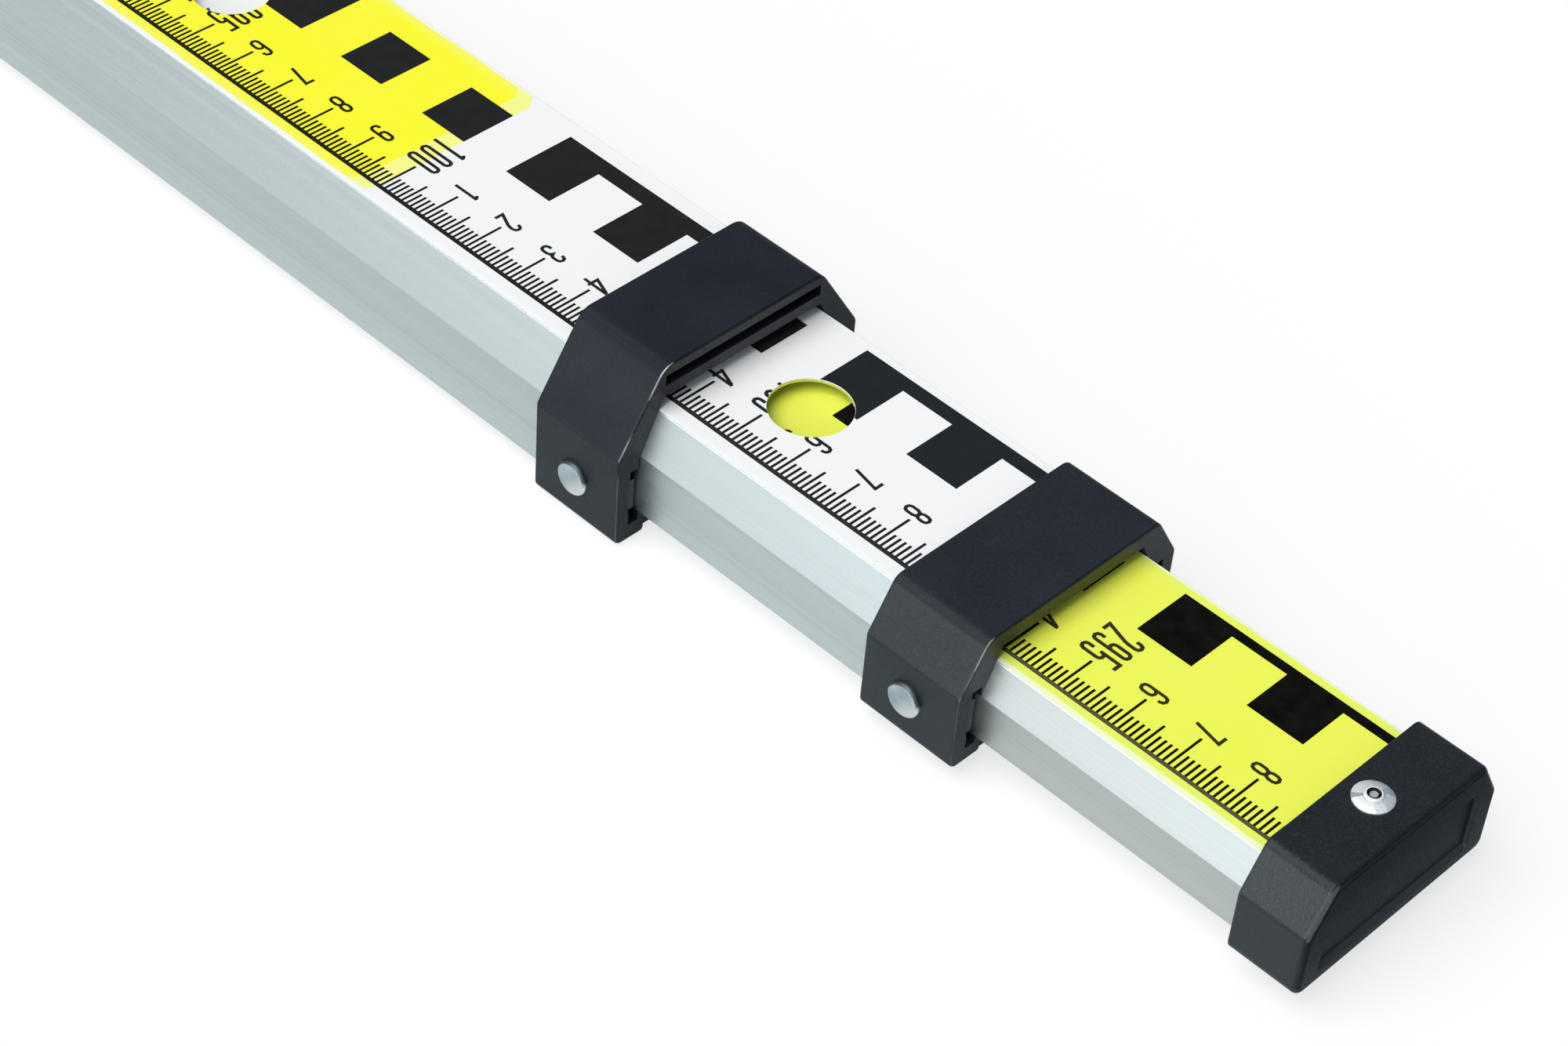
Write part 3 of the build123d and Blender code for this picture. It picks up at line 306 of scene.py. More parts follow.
INK = 0.03 * MM  # thickness over the film, and as much again pressed into it
NUMBER_WIDTH = 1.85 * MM
SHORT_NUMBER, TALL_NUMBER = 5.0 * MM, 7.0 * MM
SHORT_PEN, TALL_PEN = 0.54 * MM, 0.6 * MM
STEM_4 = 0.46 * MM  # place of the upright in a 4
ARC_STEPS = 4
NO_LENGTH = 1e-7  # a shorter run of a stroke has no direction
SHARPEST = 0.5  # keeps the sharp corners of a stroke from reaching far out
CELL, CELLS_IN_SPINE = 10 * MM, 5  # five cells of every ten have a spine
SAME_STEP = 0.1  # numbers of steps that are this near are one
SHORT_TICK, TICK_GAIN = 3.2 * MM, 1.95 * MM  # one gain at every fifth tick, two at every tenth
TICK_ROOM = 0.3 * MM  # ticks stop this far short of the film's ends, and numbers of its foot end
NUMBER_ROOM = 2.7 * MM  # numbers stop this far short of its upper end
NUMBER_ROWS = (8.78 * MM, 11.4 * MM, 14.02 * MM)  # ones, tens and hundreds, from the base line
WINDOW_REACH = 16 * MM  # what lies this near to a window's middle may be cut by it
PUNCH_SIDES, PUNCH_DEPTH = 96, 2 * MM
NUMBER_START, BLOCK_ROOM = 7.4 * MM, 0.4 * MM  # where the ink's tone changes
INK_ROUGHNESS, INK_GLOSS = 0.6, 0.25
INK_CLOUDS, INK_THINNED = (350.0, 350.0, 1.0), 0.12


def bend(x, y, radius, start, end):
    """Points on an arc, angles in degrees."""
    steps = range(ARC_STEPS + 1)
    turns = [radians(start + (end - start) * step / ARC_STEPS) for step in steps]
    return [(x + radius * cos(turn), y + radius * sin(turn)) for turn in turns]


def number_strokes(height, pen):
    """Centre lines of the ten figures, each a list of (points, closed), in metres from the middle.

    Most points are set out in shares of the figure's half width and half height.
    """
    side, top = (NUMBER_WIDTH - pen) / 2, (height - pen) / 2
    crown, sole = top - side, side - top
    waist = 0.08 * top

    def loop(low, high):
        over = bend(0, high - side, side, 0, 180)
        under = bend(0, low + side, side, 180, 360)
        return (over + under, True)

    hook = [(side, 0.57 * top), *bend(0, crown, side, 0, 180), (-side, waist - side)]
    bowl = bend(0, 0.17 * top - side, side, 150, 0)
    foot = [*bend(0, sole, side, 0, -180), (-side, -0.5 * top)]
    upper = [(-side, 0.57 * top), *bend(0, crown, side, 180, 0)]
    slant = [(side, 0.42 * top), (0.82 * side, 0.16 * top), (-0.95 * side, -top)]
    cusp = [
        (side, 0.34 * top),
        (0.7 * side, 0.1 * top),
        (-0.1 * side, 0),
        (0.7 * side, -0.1 * top),
        (side, -0.34 * top),
    ]
    return [
        [loop(-top, top)],
        [
            ([(0, height / 2), (0, -height / 2)], False),
            ([(-0.68 * MM, top - 0.46 * MM), (-0.1 * MM, top + 0.06 * MM)], False),
        ],
        [([*upper, *slant, (1.4 * side, -top)], False)],
        [([*upper, *cusp, *foot], False)],
        [
            ([(0.3 * MM, top), (-0.88 * MM, -0.45 * top), (1.08 * MM, -0.45 * top)], False),
            ([(STEM_4, height / 2), (STEM_4, -height / 2)], False),
        ],
        [
            ([(1.3 * side, top), (-side, top), (-side, -0.14 * top)], False),
            ([*bowl, *foot], False),
        ],
        [loop(-top, waist), (hook, False)],
        [([(-0.9 * MM, top), (0.72 * MM, top), (-0.2 * MM, -height / 2)], False)],
        [loop(-top, waist), loop(waist, top)],
        [loop(-waist, top), ([(-x, -y) for x, y in hook], False)],
    ]


def stroke_solid(points, closed, pen):
    """A flat band of ink along a line; figures stand with their heads towards the top cap."""
    points = [Vector(point) for point in points]
    count = len(points)
    band = bmesh.new()
    rows = []
    for at, point in enumerate(points):
        normals = []
        for a, b in ((at - 1, at), (at, at + 1)):
            if closed or (a >= 0 and b < count):
                run = points[b % count] - points[a % count]
                if run.length > NO_LENGTH:
                    normals.append(Vector((-run.y, run.x)).normalized())
        middle = sum(normals, Vector((0, 0))).normalized()
        reach = pen / 2 / max(middle.dot(normals[0]), SHARPEST)
        row = []
        for edge in (point + middle * reach, point - middle * reach):
            for level in (-INK, INK):
                row.append(band.verts.new((edge.y, -edge.x, level)))
        rows.append(row)
    for at in range(count if closed else count - 1):
        (a, b, c, d), (e, f, g, h) = rows[at], rows[(at + 1) % count]
        for corners in ((b, f, h, d), (a, c, g, e), (a, e, f, b), (d, h, g, c)):
            band.faces.new(corners)
    if not closed:
        for a, b, c, d in (rows[0], rows[-1]):
            band.faces.new((a, b, d, c))
    bmesh.ops.recalc_face_normals(band, faces=band.faces)
    return band


def plain_object(name, solid):
    """An object of a bmesh, which isn't shown until something links it."""
    mesh = bpy.data.meshes.new(name)
    solid.to_mesh(mesh)
    solid.free()
    return bpy.data.objects.new(name, mesh)


def fixed_mesh(piece):
    """The piece's mesh with its modifiers worked in and taken off."""
    bpy.context.view_layer.update()
    made = piece.evaluated_get(bpy.context.evaluated_depsgraph_get())
    mesh = bpy.data.meshes.new_from_object(made)
    piece.modifiers.clear()
    return mesh


def number_set(name, height, pen):
    """A collection with the figures 0 to 9 as thin solids, strokes that meet fused into one."""
    figures = bpy.data.collections.new(name)
    for figure, strokes in enumerate(number_strokes(height, pen)):
        solids = [plain_object("stroke", stroke_solid(*stroke, pen)) for stroke in strokes]
        for solid in solids:
            bpy.context.scene.collection.objects.link(solid)
        if len(solids) > 1:
            fuse = solids[0].modifiers.new("fuse", "BOOLEAN")
            fuse.operation, fuse.solver, fuse.object = "UNION", "EXACT", solids[1]
        mesh = fixed_mesh(solids[0])
        figures.objects.link(bpy.data.objects.new(f"{name}_{figure}", mesh))
        for solid in solids:
            bpy.data.objects.remove(solid)
    return figures


short_numbers = number_set("short", SHORT_NUMBER, SHORT_PEN)
tall_numbers = number_set("tall", TALL_NUMBER, TALL_PEN)


def graduation_tree():
    """Prints a whole film from its sizes; lengths in metres, places counted along the scale."""
    tree = bpy.data.node_groups.new("graduations", "GeometryNodeTree")
    wanted = {
        "Zero": "Float",
        "Film start": "Float",
        "Film end": "Float",
        "Film top": "Float",
        "Base line": "Float",
        "Line width": "Float",
        "Tick width": "Float",
        "Block low": "Float",
        "Block high": "Float",
        "Spine high": "Float",
        "Spine first": "Int",
        "Window": "Bool",
        "Window x": "Float",
        "Window radius": "Float",
        "Short numbers": "Collection",
        "Tall numbers": "Collection",
        "Ink": "Material",
    }
    for label, kind in wanted.items():
        tree.interface.new_socket(name=label, in_out="INPUT", socket_type=f"NodeSocket{kind}")
    tree.interface.new_socket(name="Print", in_out="OUTPUT", socket_type="NodeSocketGeometry")
    given = put(tree, "NodeGroupInput").outputs
    at = put(tree, "GeometryNodeInputIndex").outputs[0]
    cube = put(tree, "GeometryNodeMeshCube").outputs["Mesh"]
    level = given["Film top"]
    thickness = 2 * INK

    def add(first, second):
        return calc(tree, "ADD", first, second)

    def take(first, second):
        return calc(tree, "SUBTRACT", first, second)

    def times(first, second):
        return calc(tree, "MULTIPLY", first, second)

    def left_over(value, divisor):
        return calc(tree, "FLOORED_MODULO", value, divisor)

    def vector(x, y, z):
        return put(tree, "ShaderNodeCombineXYZ", {0: x, 1: y, 2: z}).outputs[0]

    def step_at(rounding, place, room, step):
        """Number of the whole step at a place on the film, or beside it by the room."""
        on_scale = add(take(given[place], given["Zero"]), room)
        return calc(tree, rounding, calc(tree, "DIVIDE", on_scale, step))

    def place_of(number, step):
        """Place on the rod of a numbered step."""
        return add(times(number, step), given["Zero"])

    def every(number, divisor):
        """True at each number that the divisor goes into."""
        return calc(tree, "COMPARE", left_over(number, divisor), 0.0, SAME_STEP)

    def row(first, last, x, y):
        """Points along the scale, one for each step from the first to the last."""
        feeds = {"Count": add(take(last, first), 1.0), "Position": vector(x, y, level)}
        return put(tree, "GeometryNodePoints", feeds).outputs[0]

    def stamp(points, selection, scale, shape=cube, pick=None):
        """The shape, or the picked one of a set, at each selected point."""
        feeds = {"Points": points, "Instance": shape, "Scale": scale}
        if selection is not None:
            feeds["Selection"] = selection
        if pick is not None:
            feeds |= {"Pick Instance": True, "Instance Index": pick}
        return put(tree, "GeometryNodeInstanceOnPoints", feeds).outputs[0]

    # ticks of three lengths on the base line
    first = step_at("CEIL", "Film start", TICK_ROOM, MM)
    last = step_at("FLOOR", "Film end", -TICK_ROOM, MM)
    mark = add(at, first)
    length = add(times(add(every(mark, 10.0), every(mark, 5.0)), TICK_GAIN), SHORT_TICK)
    y = add(given["Base line"], times(length, 0.5))
    size = vector(given["Tick width"], length, thickness)
    ticks = stamp(row(first, last, place_of(mark, MM), y), None, size)

    # the base line, from end to end of the film
    run = take(given["Film end"], given["Film start"])
    middle = times(add(given["Film end"], given["Film start"]), 0.5)
    y = take(given["Base line"], times(given["Line width"], 0.5))
    size = vector(run, given["Line width"], thickness)
    line = stamp(row(0.0, 0.0, middle, y), None, size)

    # centimetre cells, cut off at the film's ends: every odd one is black, five in ten have a spine
    first = step_at("FLOOR", "Film start", 0.0, CELL)
    last = step_at("FLOOR", "Film end", 0.0, CELL)
    cell = add(at, first)
    start = place_of(cell, CELL)
    left = calc(tree, "MAXIMUM", start, given["Film start"])
    right = calc(tree, "MINIMUM", add(start, CELL), given["Film end"])
    x = times(add(left, right), 0.5)
    run = take(right, left)
    odd = left_over(cell, 2.0)
    in_ten = left_over(take(cell, given["Spine first"]), 10.0)
    in_spine = calc(tree, "LESS_THAN", in_ten, CELLS_IN_SPINE - 0.5)
    cells = []
    for low, high, chosen in (
        (given["Block low"], given["Block high"], odd),
        (given["Block high"], given["Spine high"], in_spine),
    ):
        y = times(add(low, high), 0.5)
        size = vector(run, take(high, low), thickness)
        cells.append(stamp(row(first, last, x, y), chosen, size))

    # numbers: one figure at each centimetre, three taller ones at every fifth
    first = step_at("CEIL", "Film start", TICK_ROOM, CELL)
    last = step_at("FLOOR", "Film end", -NUMBER_ROOM, CELL)
    mark = add(at, first)
    full = every(mark, 5.0)
    numbers = []
    for digit, offset in enumerate(NUMBER_ROWS):
        figure = left_over(calc(tree, "FLOOR", calc(tree, "DIVIDE", mark, 10.0**digit)), 10.0)
        points = row(first, last, place_of(mark, CELL), add(given["Base line"], offset))
        sets = [("Tall numbers", full)]
        if digit == 0:
            sets.append(("Short numbers", take(1.0, full)))
        for name, chosen in sets:
            feeds = {"Collection": given[name], "Separate Children": True, "Reset Children": True}
            shape = put(tree, "GeometryNodeCollectionInfo", feeds).outputs[0]
            numbers.append(stamp(points, chosen, (1.0, 1.0, 1.0), shape, figure))

    # what lies round the window is cut away with it
    together = put(tree, "GeometryNodeJoinGeometry")
    for printed in cells + numbers:
        tree.links.new(printed, together.inputs[0])
    along = parts(tree, put(tree, "GeometryNodeInputPosition").outputs[0])[0]
    near = calc(tree, "COMPARE", along, given["Window x"], WINDOW_REACH)
    feeds = {0: together.outputs[0], 1: near}
    split = put(tree, "GeometryNodeSeparateGeometry", feeds, domain="INSTANCE").outputs
    touched = put(tree, "GeometryNodeRealizeInstances", {0: split[0]}).outputs[0]
    radius = given["Window radius"]
    feeds = {"Vertices": PUNCH_SIDES, "Radius": radius, "Depth": PUNCH_DEPTH}
    punch = put(tree, "GeometryNodeMeshCylinder", feeds).outputs[0]
    feeds = {"Geometry": punch, "Translation": vector(given["Window x"], 0.0, level)}
    punch = put(tree, "GeometryNodeTransform", feeds).outputs[0]
    feeds = {"Mesh 1": touched, "Mesh 2": punch, "Self Intersection": True}
    settings = {"operation": "DIFFERENCE", "solver": "EXACT"}
    cut = put(tree, "GeometryNodeMeshBoolean", feeds, **settings).outputs[0]
    feeds = {"Switch": given["Window"], "False": touched, "True": cut}
    cut = put(tree, "GeometryNodeSwitch", feeds, input_type="GEOMETRY").outputs[0]

    everything = put(tree, "GeometryNodeJoinGeometry")
    for printed in (ticks, line, split[1], cut):
        tree.links.new(printed, everything.inputs[0])
    whole = put(tree, "GeometryNodeRealizeInstances", {0: everything.outputs[0]}).outputs[0]
    feeds = {"Geometry": whole, "Material": given["Ink"]}
    inked = put(tree, "GeometryNodeSetMaterial", feeds).outputs[0]
    put(tree, "NodeGroupOutput", {0: inked})
    return tree


graduations = graduation_tree()
thin_ink = shade(56, 56, 54)


def print_ink(name, sizes, gloss, line, ticks, numbers, blocks):
    """Screen ink, almost matt, with a tone of its own in the line, ticks, numbers and blocks."""
    material, tree, shader = finish(name, Roughness=INK_ROUGHNESS, Specular_IOR_Level=gloss)
    across = parts(tree, in_place(tree))[1]
    colour = line
    for start, tone in (
        (sizes["Base line"], ticks),
        (sizes["Base line"] + NUMBER_START, numbers),
        (sizes["Block low"] - BLOCK_ROOM, blocks),
    ):
        colour = mixed(tree, calc(tree, "GREATER_THAN", across, start), colour, tone)
    cloud = evened(tree, mottle(tree, INK_CLOUDS), 0.0, INK_THINNED)
    colour_surface(tree, shader, mixed(tree, cloud, colour, thin_ink))
    return material


def print_film(name, film, body, sizes, ink):
    """Runs the tree for one film and leaves a plain mesh that rides on the section."""
    low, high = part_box(film)
    piece = bpy.data.objects.new(name, bpy.data.meshes.new(name))
    bpy.context.scene.collection.objects.link(piece)
    printing = piece.modifiers.new("printing", "NODES")
    printing.node_group = graduations
    sizes = sizes | {
        "Film start": low.x,
        "Film end": high.x,
        "Film top": high.z,
        "Short numbers": short_numbers,
        "Tall numbers": tall_numbers,
        "Ink": ink,
    }
    for socket in graduations.interface.items_tree:
        if socket.in_out == "INPUT":
            printing[socket.identifier] = sizes[socket.name]
    piece.data = fixed_mesh(piece)
    piece.data.name = name
    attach(piece, body)


outer_print_sizes = {
    "Zero": 0.0,
    "Base line": -15.15 * MM,
    "Line width": 0.78 * MM,
    "Tick width": 0.45 * MM,
    "Block low": 1.95 * MM,
    "Block high": 12.5 * MM,
    "Spine high": 15.75 * MM,
    "Spine first": 1,
    "Window": True,
    "Window x": OUTER_WINDOW,
    "Window radius": WINDOW_RADIUS,
}
outer_tones = shade(20, 19, 16), shade(12, 10, 6), shade(26, 25, 22), shade(20, 21, 23)
outer_ink = print_ink("ink_outer", outer_print_sizes, INK_GLOSS, *outer_tones)
print_film("print_outer", "outer_scale", "section_1", outer_print_sizes, outer_ink)

# ---- Collar, pads and rivets of the outer section ------------------------------------------------
# The collar is moulded in black glass-filled nylon with a fine spark grain. It is pushed over the
# tube's end with a slick plastic pad in each side, on which the middle section slides, and is held
# by a bright button-head rivet through each side.

COLLAR_GRAIN, GRAIN_DEPTH = 2300.0, 0.022 * MM  # pits in a metre, and their depth
GRAIN_ROUGHNESS = 0.08  # more or less in the pits and between them
GRAIN_GLINTS = (0.5, 0.75)  # the part of the grain that gets a painted glint
CLOUDS, CLOUD_SHARE = 70.0, 0.35
FRONT_EDGE = (0.66, 0.2)  # how far along the rod the rounded front edge faces, give or take
NEAR_SIDE, EDGE_HIGHLIGHT_TOP = (0.0, -0.35), (0.06, 0.2)  # how far across and up the painted edge highlight faces
# patches of the painted edge highlight, and how much of it is left low down
EDGE_HIGHLIGHT_PATCHES, EDGE_HIGHLIGHT_RANGE, EDGE_HIGHLIGHT_BELOW = 160.0, (0.34, 0.5), 0.12
SLOPE = (0.5, 0.1)  # how far up the slopes beside the roof face, give or take
# grain, range, and least and most strength of the painted sheen on the slopes
SHEEN_GRAIN, SHEEN_RANGE, SHEEN_LEAST, SHEEN_MOST = 2400.0, (0.38, 0.64), 0.2, 0.9
CORNER_START, CORNER_END, CORNER_SHINE = (0.48, 0.72), (1.0, 0.88), 0.4

# the moulding's random clouds, and the colour of its grain's painted glints
moulding_cloud, painted_grain_glint = shade(40, 45, 52), shade(120, 128, 130)
# colours of the painted edge highlight and of the painted sheen on the slopes
painted_edge_highlight, painted_slope_sheen = shade(196, 198, 198), shade(44, 53, 55)


def faces(tree):
    """The way the surface faces."""
    return put(tree, "ShaderNodeNewGeometry").outputs["Normal"]


def grained_moulding(name, colour, edge_shine, sheen_strength, glint_share, gloss, roughness, depth):
    """Black moulding with a fine grain.

    Specks of its grain get painted glints, its rounded front edge on the near side a painted
    highlight, its slopes a grainy painted sheen, and the corners over the slopes shine less than
    the rest.
    """
    material, tree, shader = finish(name)
    grain = mottle(tree, COLLAR_GRAIN, detail=2.0, rough=0.6)
    cloud = calc(tree, "MULTIPLY", evened(tree, mottle(tree, CLOUDS)), CLOUD_SHARE)
    base = mixed(tree, cloud, colour, moulding_cloud)
    # painted glints on the grain's raised specks
    base = mixed(tree, ramp(tree, grain, *GRAIN_GLINTS, 0.0, glint_share), base, painted_grain_glint)
    lie, side, rise = parts(tree, faces(tree))
    on_edge = calc(tree, "COMPARE", lie, *FRONT_EDGE)
    on_near_side = ramp(tree, side, *NEAR_SIDE)
    patchy = ramp(tree, mottle(tree, EDGE_HIGHLIGHT_PATCHES, detail=4.0), *EDGE_HIGHLIGHT_RANGE)
    rubbing_and_edge_highlight = calc(tree, "MULTIPLY", calc(tree, "MULTIPLY", on_edge, on_near_side), patchy)
    higher = ramp(tree, rise, *EDGE_HIGHLIGHT_TOP, EDGE_HIGHLIGHT_BELOW * edge_shine, edge_shine)
    rubbing_and_edge_highlight = calc(tree, "MULTIPLY", rubbing_and_edge_highlight, higher)
    # a painted highlight along the rounded front edge on the near side, patchy and stronger higher
    # up
    base = mixed(tree, rubbing_and_edge_highlight, base, painted_edge_highlight)
    # a grainy painted sheen on the slopes beside the roof
    sheen_grain_noise = mottle(tree, SHEEN_GRAIN, detail=3.0, rough=0.7)
    sheen_amount = ramp(tree, sheen_grain_noise, *SHEEN_RANGE, SHEEN_LEAST * sheen_strength, SHEEN_MOST * sheen_strength)
    on_slope = calc(tree, "COMPARE", rise, *SLOPE)
    base = mixed(tree, calc(tree, "MULTIPLY", on_slope, sheen_amount), base, painted_slope_sheen)
    rough = evened(tree, grain, roughness - GRAIN_ROUGHNESS, roughness + GRAIN_ROUGHNESS)
    colour_surface(tree, shader, base, rough)
    corner = ramp(tree, rise, *CORNER_START)
    corner = calc(tree, "MINIMUM", corner, ramp(tree, rise, *CORNER_END))
    shine = ramp(tree, corner, 0.0, 1.0, gloss, CORNER_SHINE * gloss)
    tree.links.new(shine, shader.inputs["Specular IOR Level"])
    rough_surface(tree, shader, grain, depth)
    return material


# a strong painted highlight on the near front edge, and no painted sheen on the slopes
collar_moulding = grained_moulding(
    "grained_nylon",
    shade(15, 20, 30),
    edge_shine=0.9,
    sheen_strength=0.0,
    glint_share=0.02,
    gloss=0.38,
    roughness=0.48,
    depth=GRAIN_DEPTH,
)
dress("collar_1", collar_moulding)

RUBBING, RUBBED_SHARE, RUBBED_ROUGHNESS = (60.0, 900.0, 900.0), 0.3, 0.15

rubbing_mark = shade(90, 92, 94)


def slick_plastic(name, colour, roughness):
    """Smooth low-friction plastic with faint rubbing marks along the rod."""
    material, tree, shader = finish(name)
    rubbing_and_edge_highlight = ramp(tree, mottle(tree, RUBBING), *MOST)
    marked = mixed(tree, calc(tree, "MULTIPLY", rubbing_and_edge_highlight, RUBBED_SHARE), colour, rubbing_mark)
    rough = ramp(tree, rubbing_and_edge_highlight, 0.0, 1.0, roughness, roughness + RUBBED_ROUGHNESS)
    colour_surface(tree, shader, marked, rough)
    return material


pad_plastic = slick_plastic("slide_pad_plastic", shade(24, 26, 30), roughness=0.3)
dress("collar_1_pads", pad_plastic)

RIVET_RIM = (2.55 * MM, 2.7 * MM)  # from the rivet's middle
RIVET_HIGHLIGHT, RIVET_HIGHLIGHT_SHARE = (-0.5 * MM, 3.2 * MM), 0.85  # a painted highlight, towards the front and down from the middle
BELOW = (0.25, 0.0)  # how far up the rim's lower part faces, at the most and on the level; there painted shade gives way to a painted highlight
SET_ROUGHNESS, RIM_ROUGHNESS = 0.36, (0.5, 0.2)  # of the centre, and of the rim above and below
SET_MARKS, SET_DEPTH = 300.0, 0.006 * MM

set_dark, set_light = shade(176, 192, 198), shade(206, 218, 222)
# the painted highlight on the rivet's centre
set_painted_highlight = shade(255, 248, 240)
# painted shade for the rim's upper part and a painted highlight for its lower part
rim_painted_shade, rim_painted_highlight = shade(92, 98, 102), shade(250, 252, 252)


def set_rivets(node):
    """Side rivets, whose heads have a flat, satin centre from the setting tool and a rolled rim.

    The centre gets a painted highlight towards the collar's front and down, and the rim painted
    shade above and a painted highlight below.
    """
    low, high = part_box(node)
    material, tree, shader = finish(node, Metallic=1.0)
    apart, out = off_axis(tree, (low.x + high.x) / 2, (low.z + high.z) / 2, upright=False)
    rim = ramp(tree, out, *RIVET_RIM)
    marks = mottle(tree, SET_MARKS)
    centre = mixed(tree, ramp(tree, marks, *MOST), set_dark, set_light)
    ahead, _, higher = parts(tree, apart)
    # painted highlight on the centre, brightest towards the front and down
    centre_highlight = ramp(tree, calc(tree, "SUBTRACT", ahead, higher), *RIVET_HIGHLIGHT, 0.0, RIVET_HIGHLIGHT_SHARE)
    centre = mixed(tree, centre_highlight, centre, set_painted_highlight)
    # painted shade on the rim's upper part and a painted highlight on its lower part
    below = ramp(tree, parts(tree, faces(tree))[2], *BELOW)
    rim_shade_and_highlight = mixed(tree, below, rim_painted_shade, rim_painted_highlight)
    rim_rough = ramp(tree, below, 0.0, 1.0, *RIM_ROUGHNESS)
    rough = ramp(tree, rim, 0.0, 1.0, SET_ROUGHNESS, rim_rough)
    colour_surface(tree, shader, mixed(tree, rim, centre, rim_shade_and_highlight), rough)
    rough_surface(tree, shader, marks, SET_DEPTH)
    dress(node, material)


set_rivets("collar_1_rivets")

# ---- Foot of the rod -----------------------------------------------------------------------------
# A shoe moulded like the collar closes the outer tube, held by rivets like the collar's. A steel
# plate is fixed to it with two countersunk screws and stands on the mark; a rubber block inside
# takes the closing sections.

BRUSHED, BRUSH_DEPTH = (3000.0, 60.0, 3000.0), 0.006 * MM  # strokes in a metre, each way
BRUSHED_ROUGHNESS = (0.28, 0.44)
SCUFFS, SCUFF_RANGE = 240.0, (0.35, 0.7)
DARK_SHARE, DENT_ROUGHNESS = 0.78, 0.12  # of bright metal where it is marked
DUST, DUST_RANGE, DUST_SHARE, DUST_DEPTH = 500.0, (0.35, 0.7), 0.35, 0.02 * MM
RUBBER_ROUGHNESS = (0.7, 0.9)

plate_grey, scuff_grey = shade(196, 198, 200), shade(160, 161, 162)
rubber_black, dust_grey = shade(30, 30, 30), shade(70, 69, 66)

dress("foot_shoe", collar_moulding)
set_rivets("foot_rivets")

foot_steel, tree, shader = finish("brushed_plate", Metallic=1.0)
strokes = mottle(tree, BRUSHED, detail=4.0, rough=0.7)
scuffs = ramp(tree, mottle(tree, SCUFFS), *SCUFF_RANGE)
scuffed = mixed(tree, scuffs, plate_grey, scuff_grey)
colour_surface(tree, shader, scuffed, evened(tree, strokes, *BRUSHED_ROUGHNESS))
rough_surface(tree, shader, strokes, BRUSH_DEPTH)
dress("foot_plate", foot_steel)


def bright_metal(name, colour, roughness, dents, depth):
    """Bright rivet, screw or wire metal, marked by the tool that made or set it."""
    material, tree, shader = finish(name, Metallic=1.0)
    marks = mottle(tree, dents, detail=2.0)
    darker = tuple(DARK_SHARE * part for part in colour[:3]) + (1.0,)
    marked = mixed(tree, evened(tree, marks), darker, colour)
    rough = evened(tree, marks, roughness, roughness + DENT_ROUGHNESS)
    colour_surface(tree, shader, marked, rough)
    rough_surface(tree, shader, marks, depth)
    return material


screw_steel = bright_metal(
    "plated_screw", shade(176, 178, 180), roughness=0.3, dents=700.0, depth=0.01 * MM
)
dress("foot_screws", screw_steel)

rubber, tree, shader = finish("buffer_rubber", Specular_IOR_Level=0.35)
dust = ramp(tree, mottle(tree, DUST, detail=4.0), *DUST_RANGE, 0.0, DUST_SHARE)
dusted = mixed(tree, dust, rubber_black, dust_grey)
colour_surface(tree, shader, dusted, ramp(tree, dust, 0.0, DUST_SHARE, *RUBBER_ROUGHNESS))
rough_surface(tree, shader, dust, DUST_DEPTH)
dress("outer_buffer", rubber)

# ---- Middle tube and its film --------------------------------------------------------------------
# The next extrusion in, with the guide hole of its lock button near the foot and the second window
# near the top. Its film is white from end to end, stuck on and printed like the first one.

MIDDLE_WINDOW = 1079.4 * MM  # middle of the window, from the foot of the closed rod

middle_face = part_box("middle_tube")[1].z
middle_dull, middle_bright = shade(203, 209, 210), shade(226, 232, 233)
middle_metal = anodised("anodised_middle", middle_dull, middle_bright, MIDDLE_WINDOW, middle_face)
dress("middle_tube", middle_metal)

middle_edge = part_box("middle_scale")[1].y
middle_colours = [(0.0, film_white)]
middle_film = scale_film("scale_film_middle", middle_edge, middle_colours, film_white, film_rim)
dress("middle_scale", middle_film)

middle_print_sizes = {
    "Zero": -874.2 * MM,
    "Base line": -13.75 * MM,
    "Line width": 0.78 * MM,
    "Tick width": 0.45 * MM,
    "Block low": 3.2 * MM,
    "Block high": 13.1 * MM,
    "Spine high": 15.8 * MM,
    "Spine first": 5,
    "Window": True,
    "Window x": MIDDLE_WINDOW,
    "Window radius": WINDOW_RADIUS,
}
middle_tones = shade(36, 37, 38), shade(18, 19, 21), shade(24, 26, 29), shade(22, 26, 31)
middle_ink = print_ink("ink_middle", middle_print_sizes, INK_GLOSS, *middle_tones)
print_film("print_middle", "middle_scale", "section_2", middle_print_sizes, middle_ink)

# ---- Collar, pads and rivets of the middle section -----------------------------------------------
# Made like the first collar, one size smaller, with a thinner roof and no slot over its mouth. It
# is the one taken hold of to draw the middle section out, and its slopes get a grainy painted
# sheen.

# a milder painted edge highlight, and a grainy painted sheen on the slopes
collar_2_moulding = grained_moulding(
    "collar_2_nylon",
    shade(18, 23, 33),
    edge_shine=0.5,
    sheen_strength=0.7,
    glint_share=0.03,
    gloss=0.48,
    roughness=0.46,
    depth=GRAIN_DEPTH,
)
dress("collar_2", collar_2_moulding)
dress("collar_2_pads", pad_plastic)
set_rivets("collar_2_rivets")

# ---- Guides, lock buttons and springs inside the tubes -------------------------------------------
# A natural acetal guide is riveted flush in the foot of each inner section; the middle one carries
# a rubber block for the inner tube. Each guide holds a black button on a steel coil spring, which
# comes up in the window of the section outside it.

FLOW, ACETAL_ROUGHNESS = (30.0, 240.0, 240.0), (0.38, 0.5)
SAME_POINT = 1e-6  # corners of the mesh this near to each other are one

acetal_pale, acetal_flow = shade(228, 228, 220), shade(218, 217, 207)

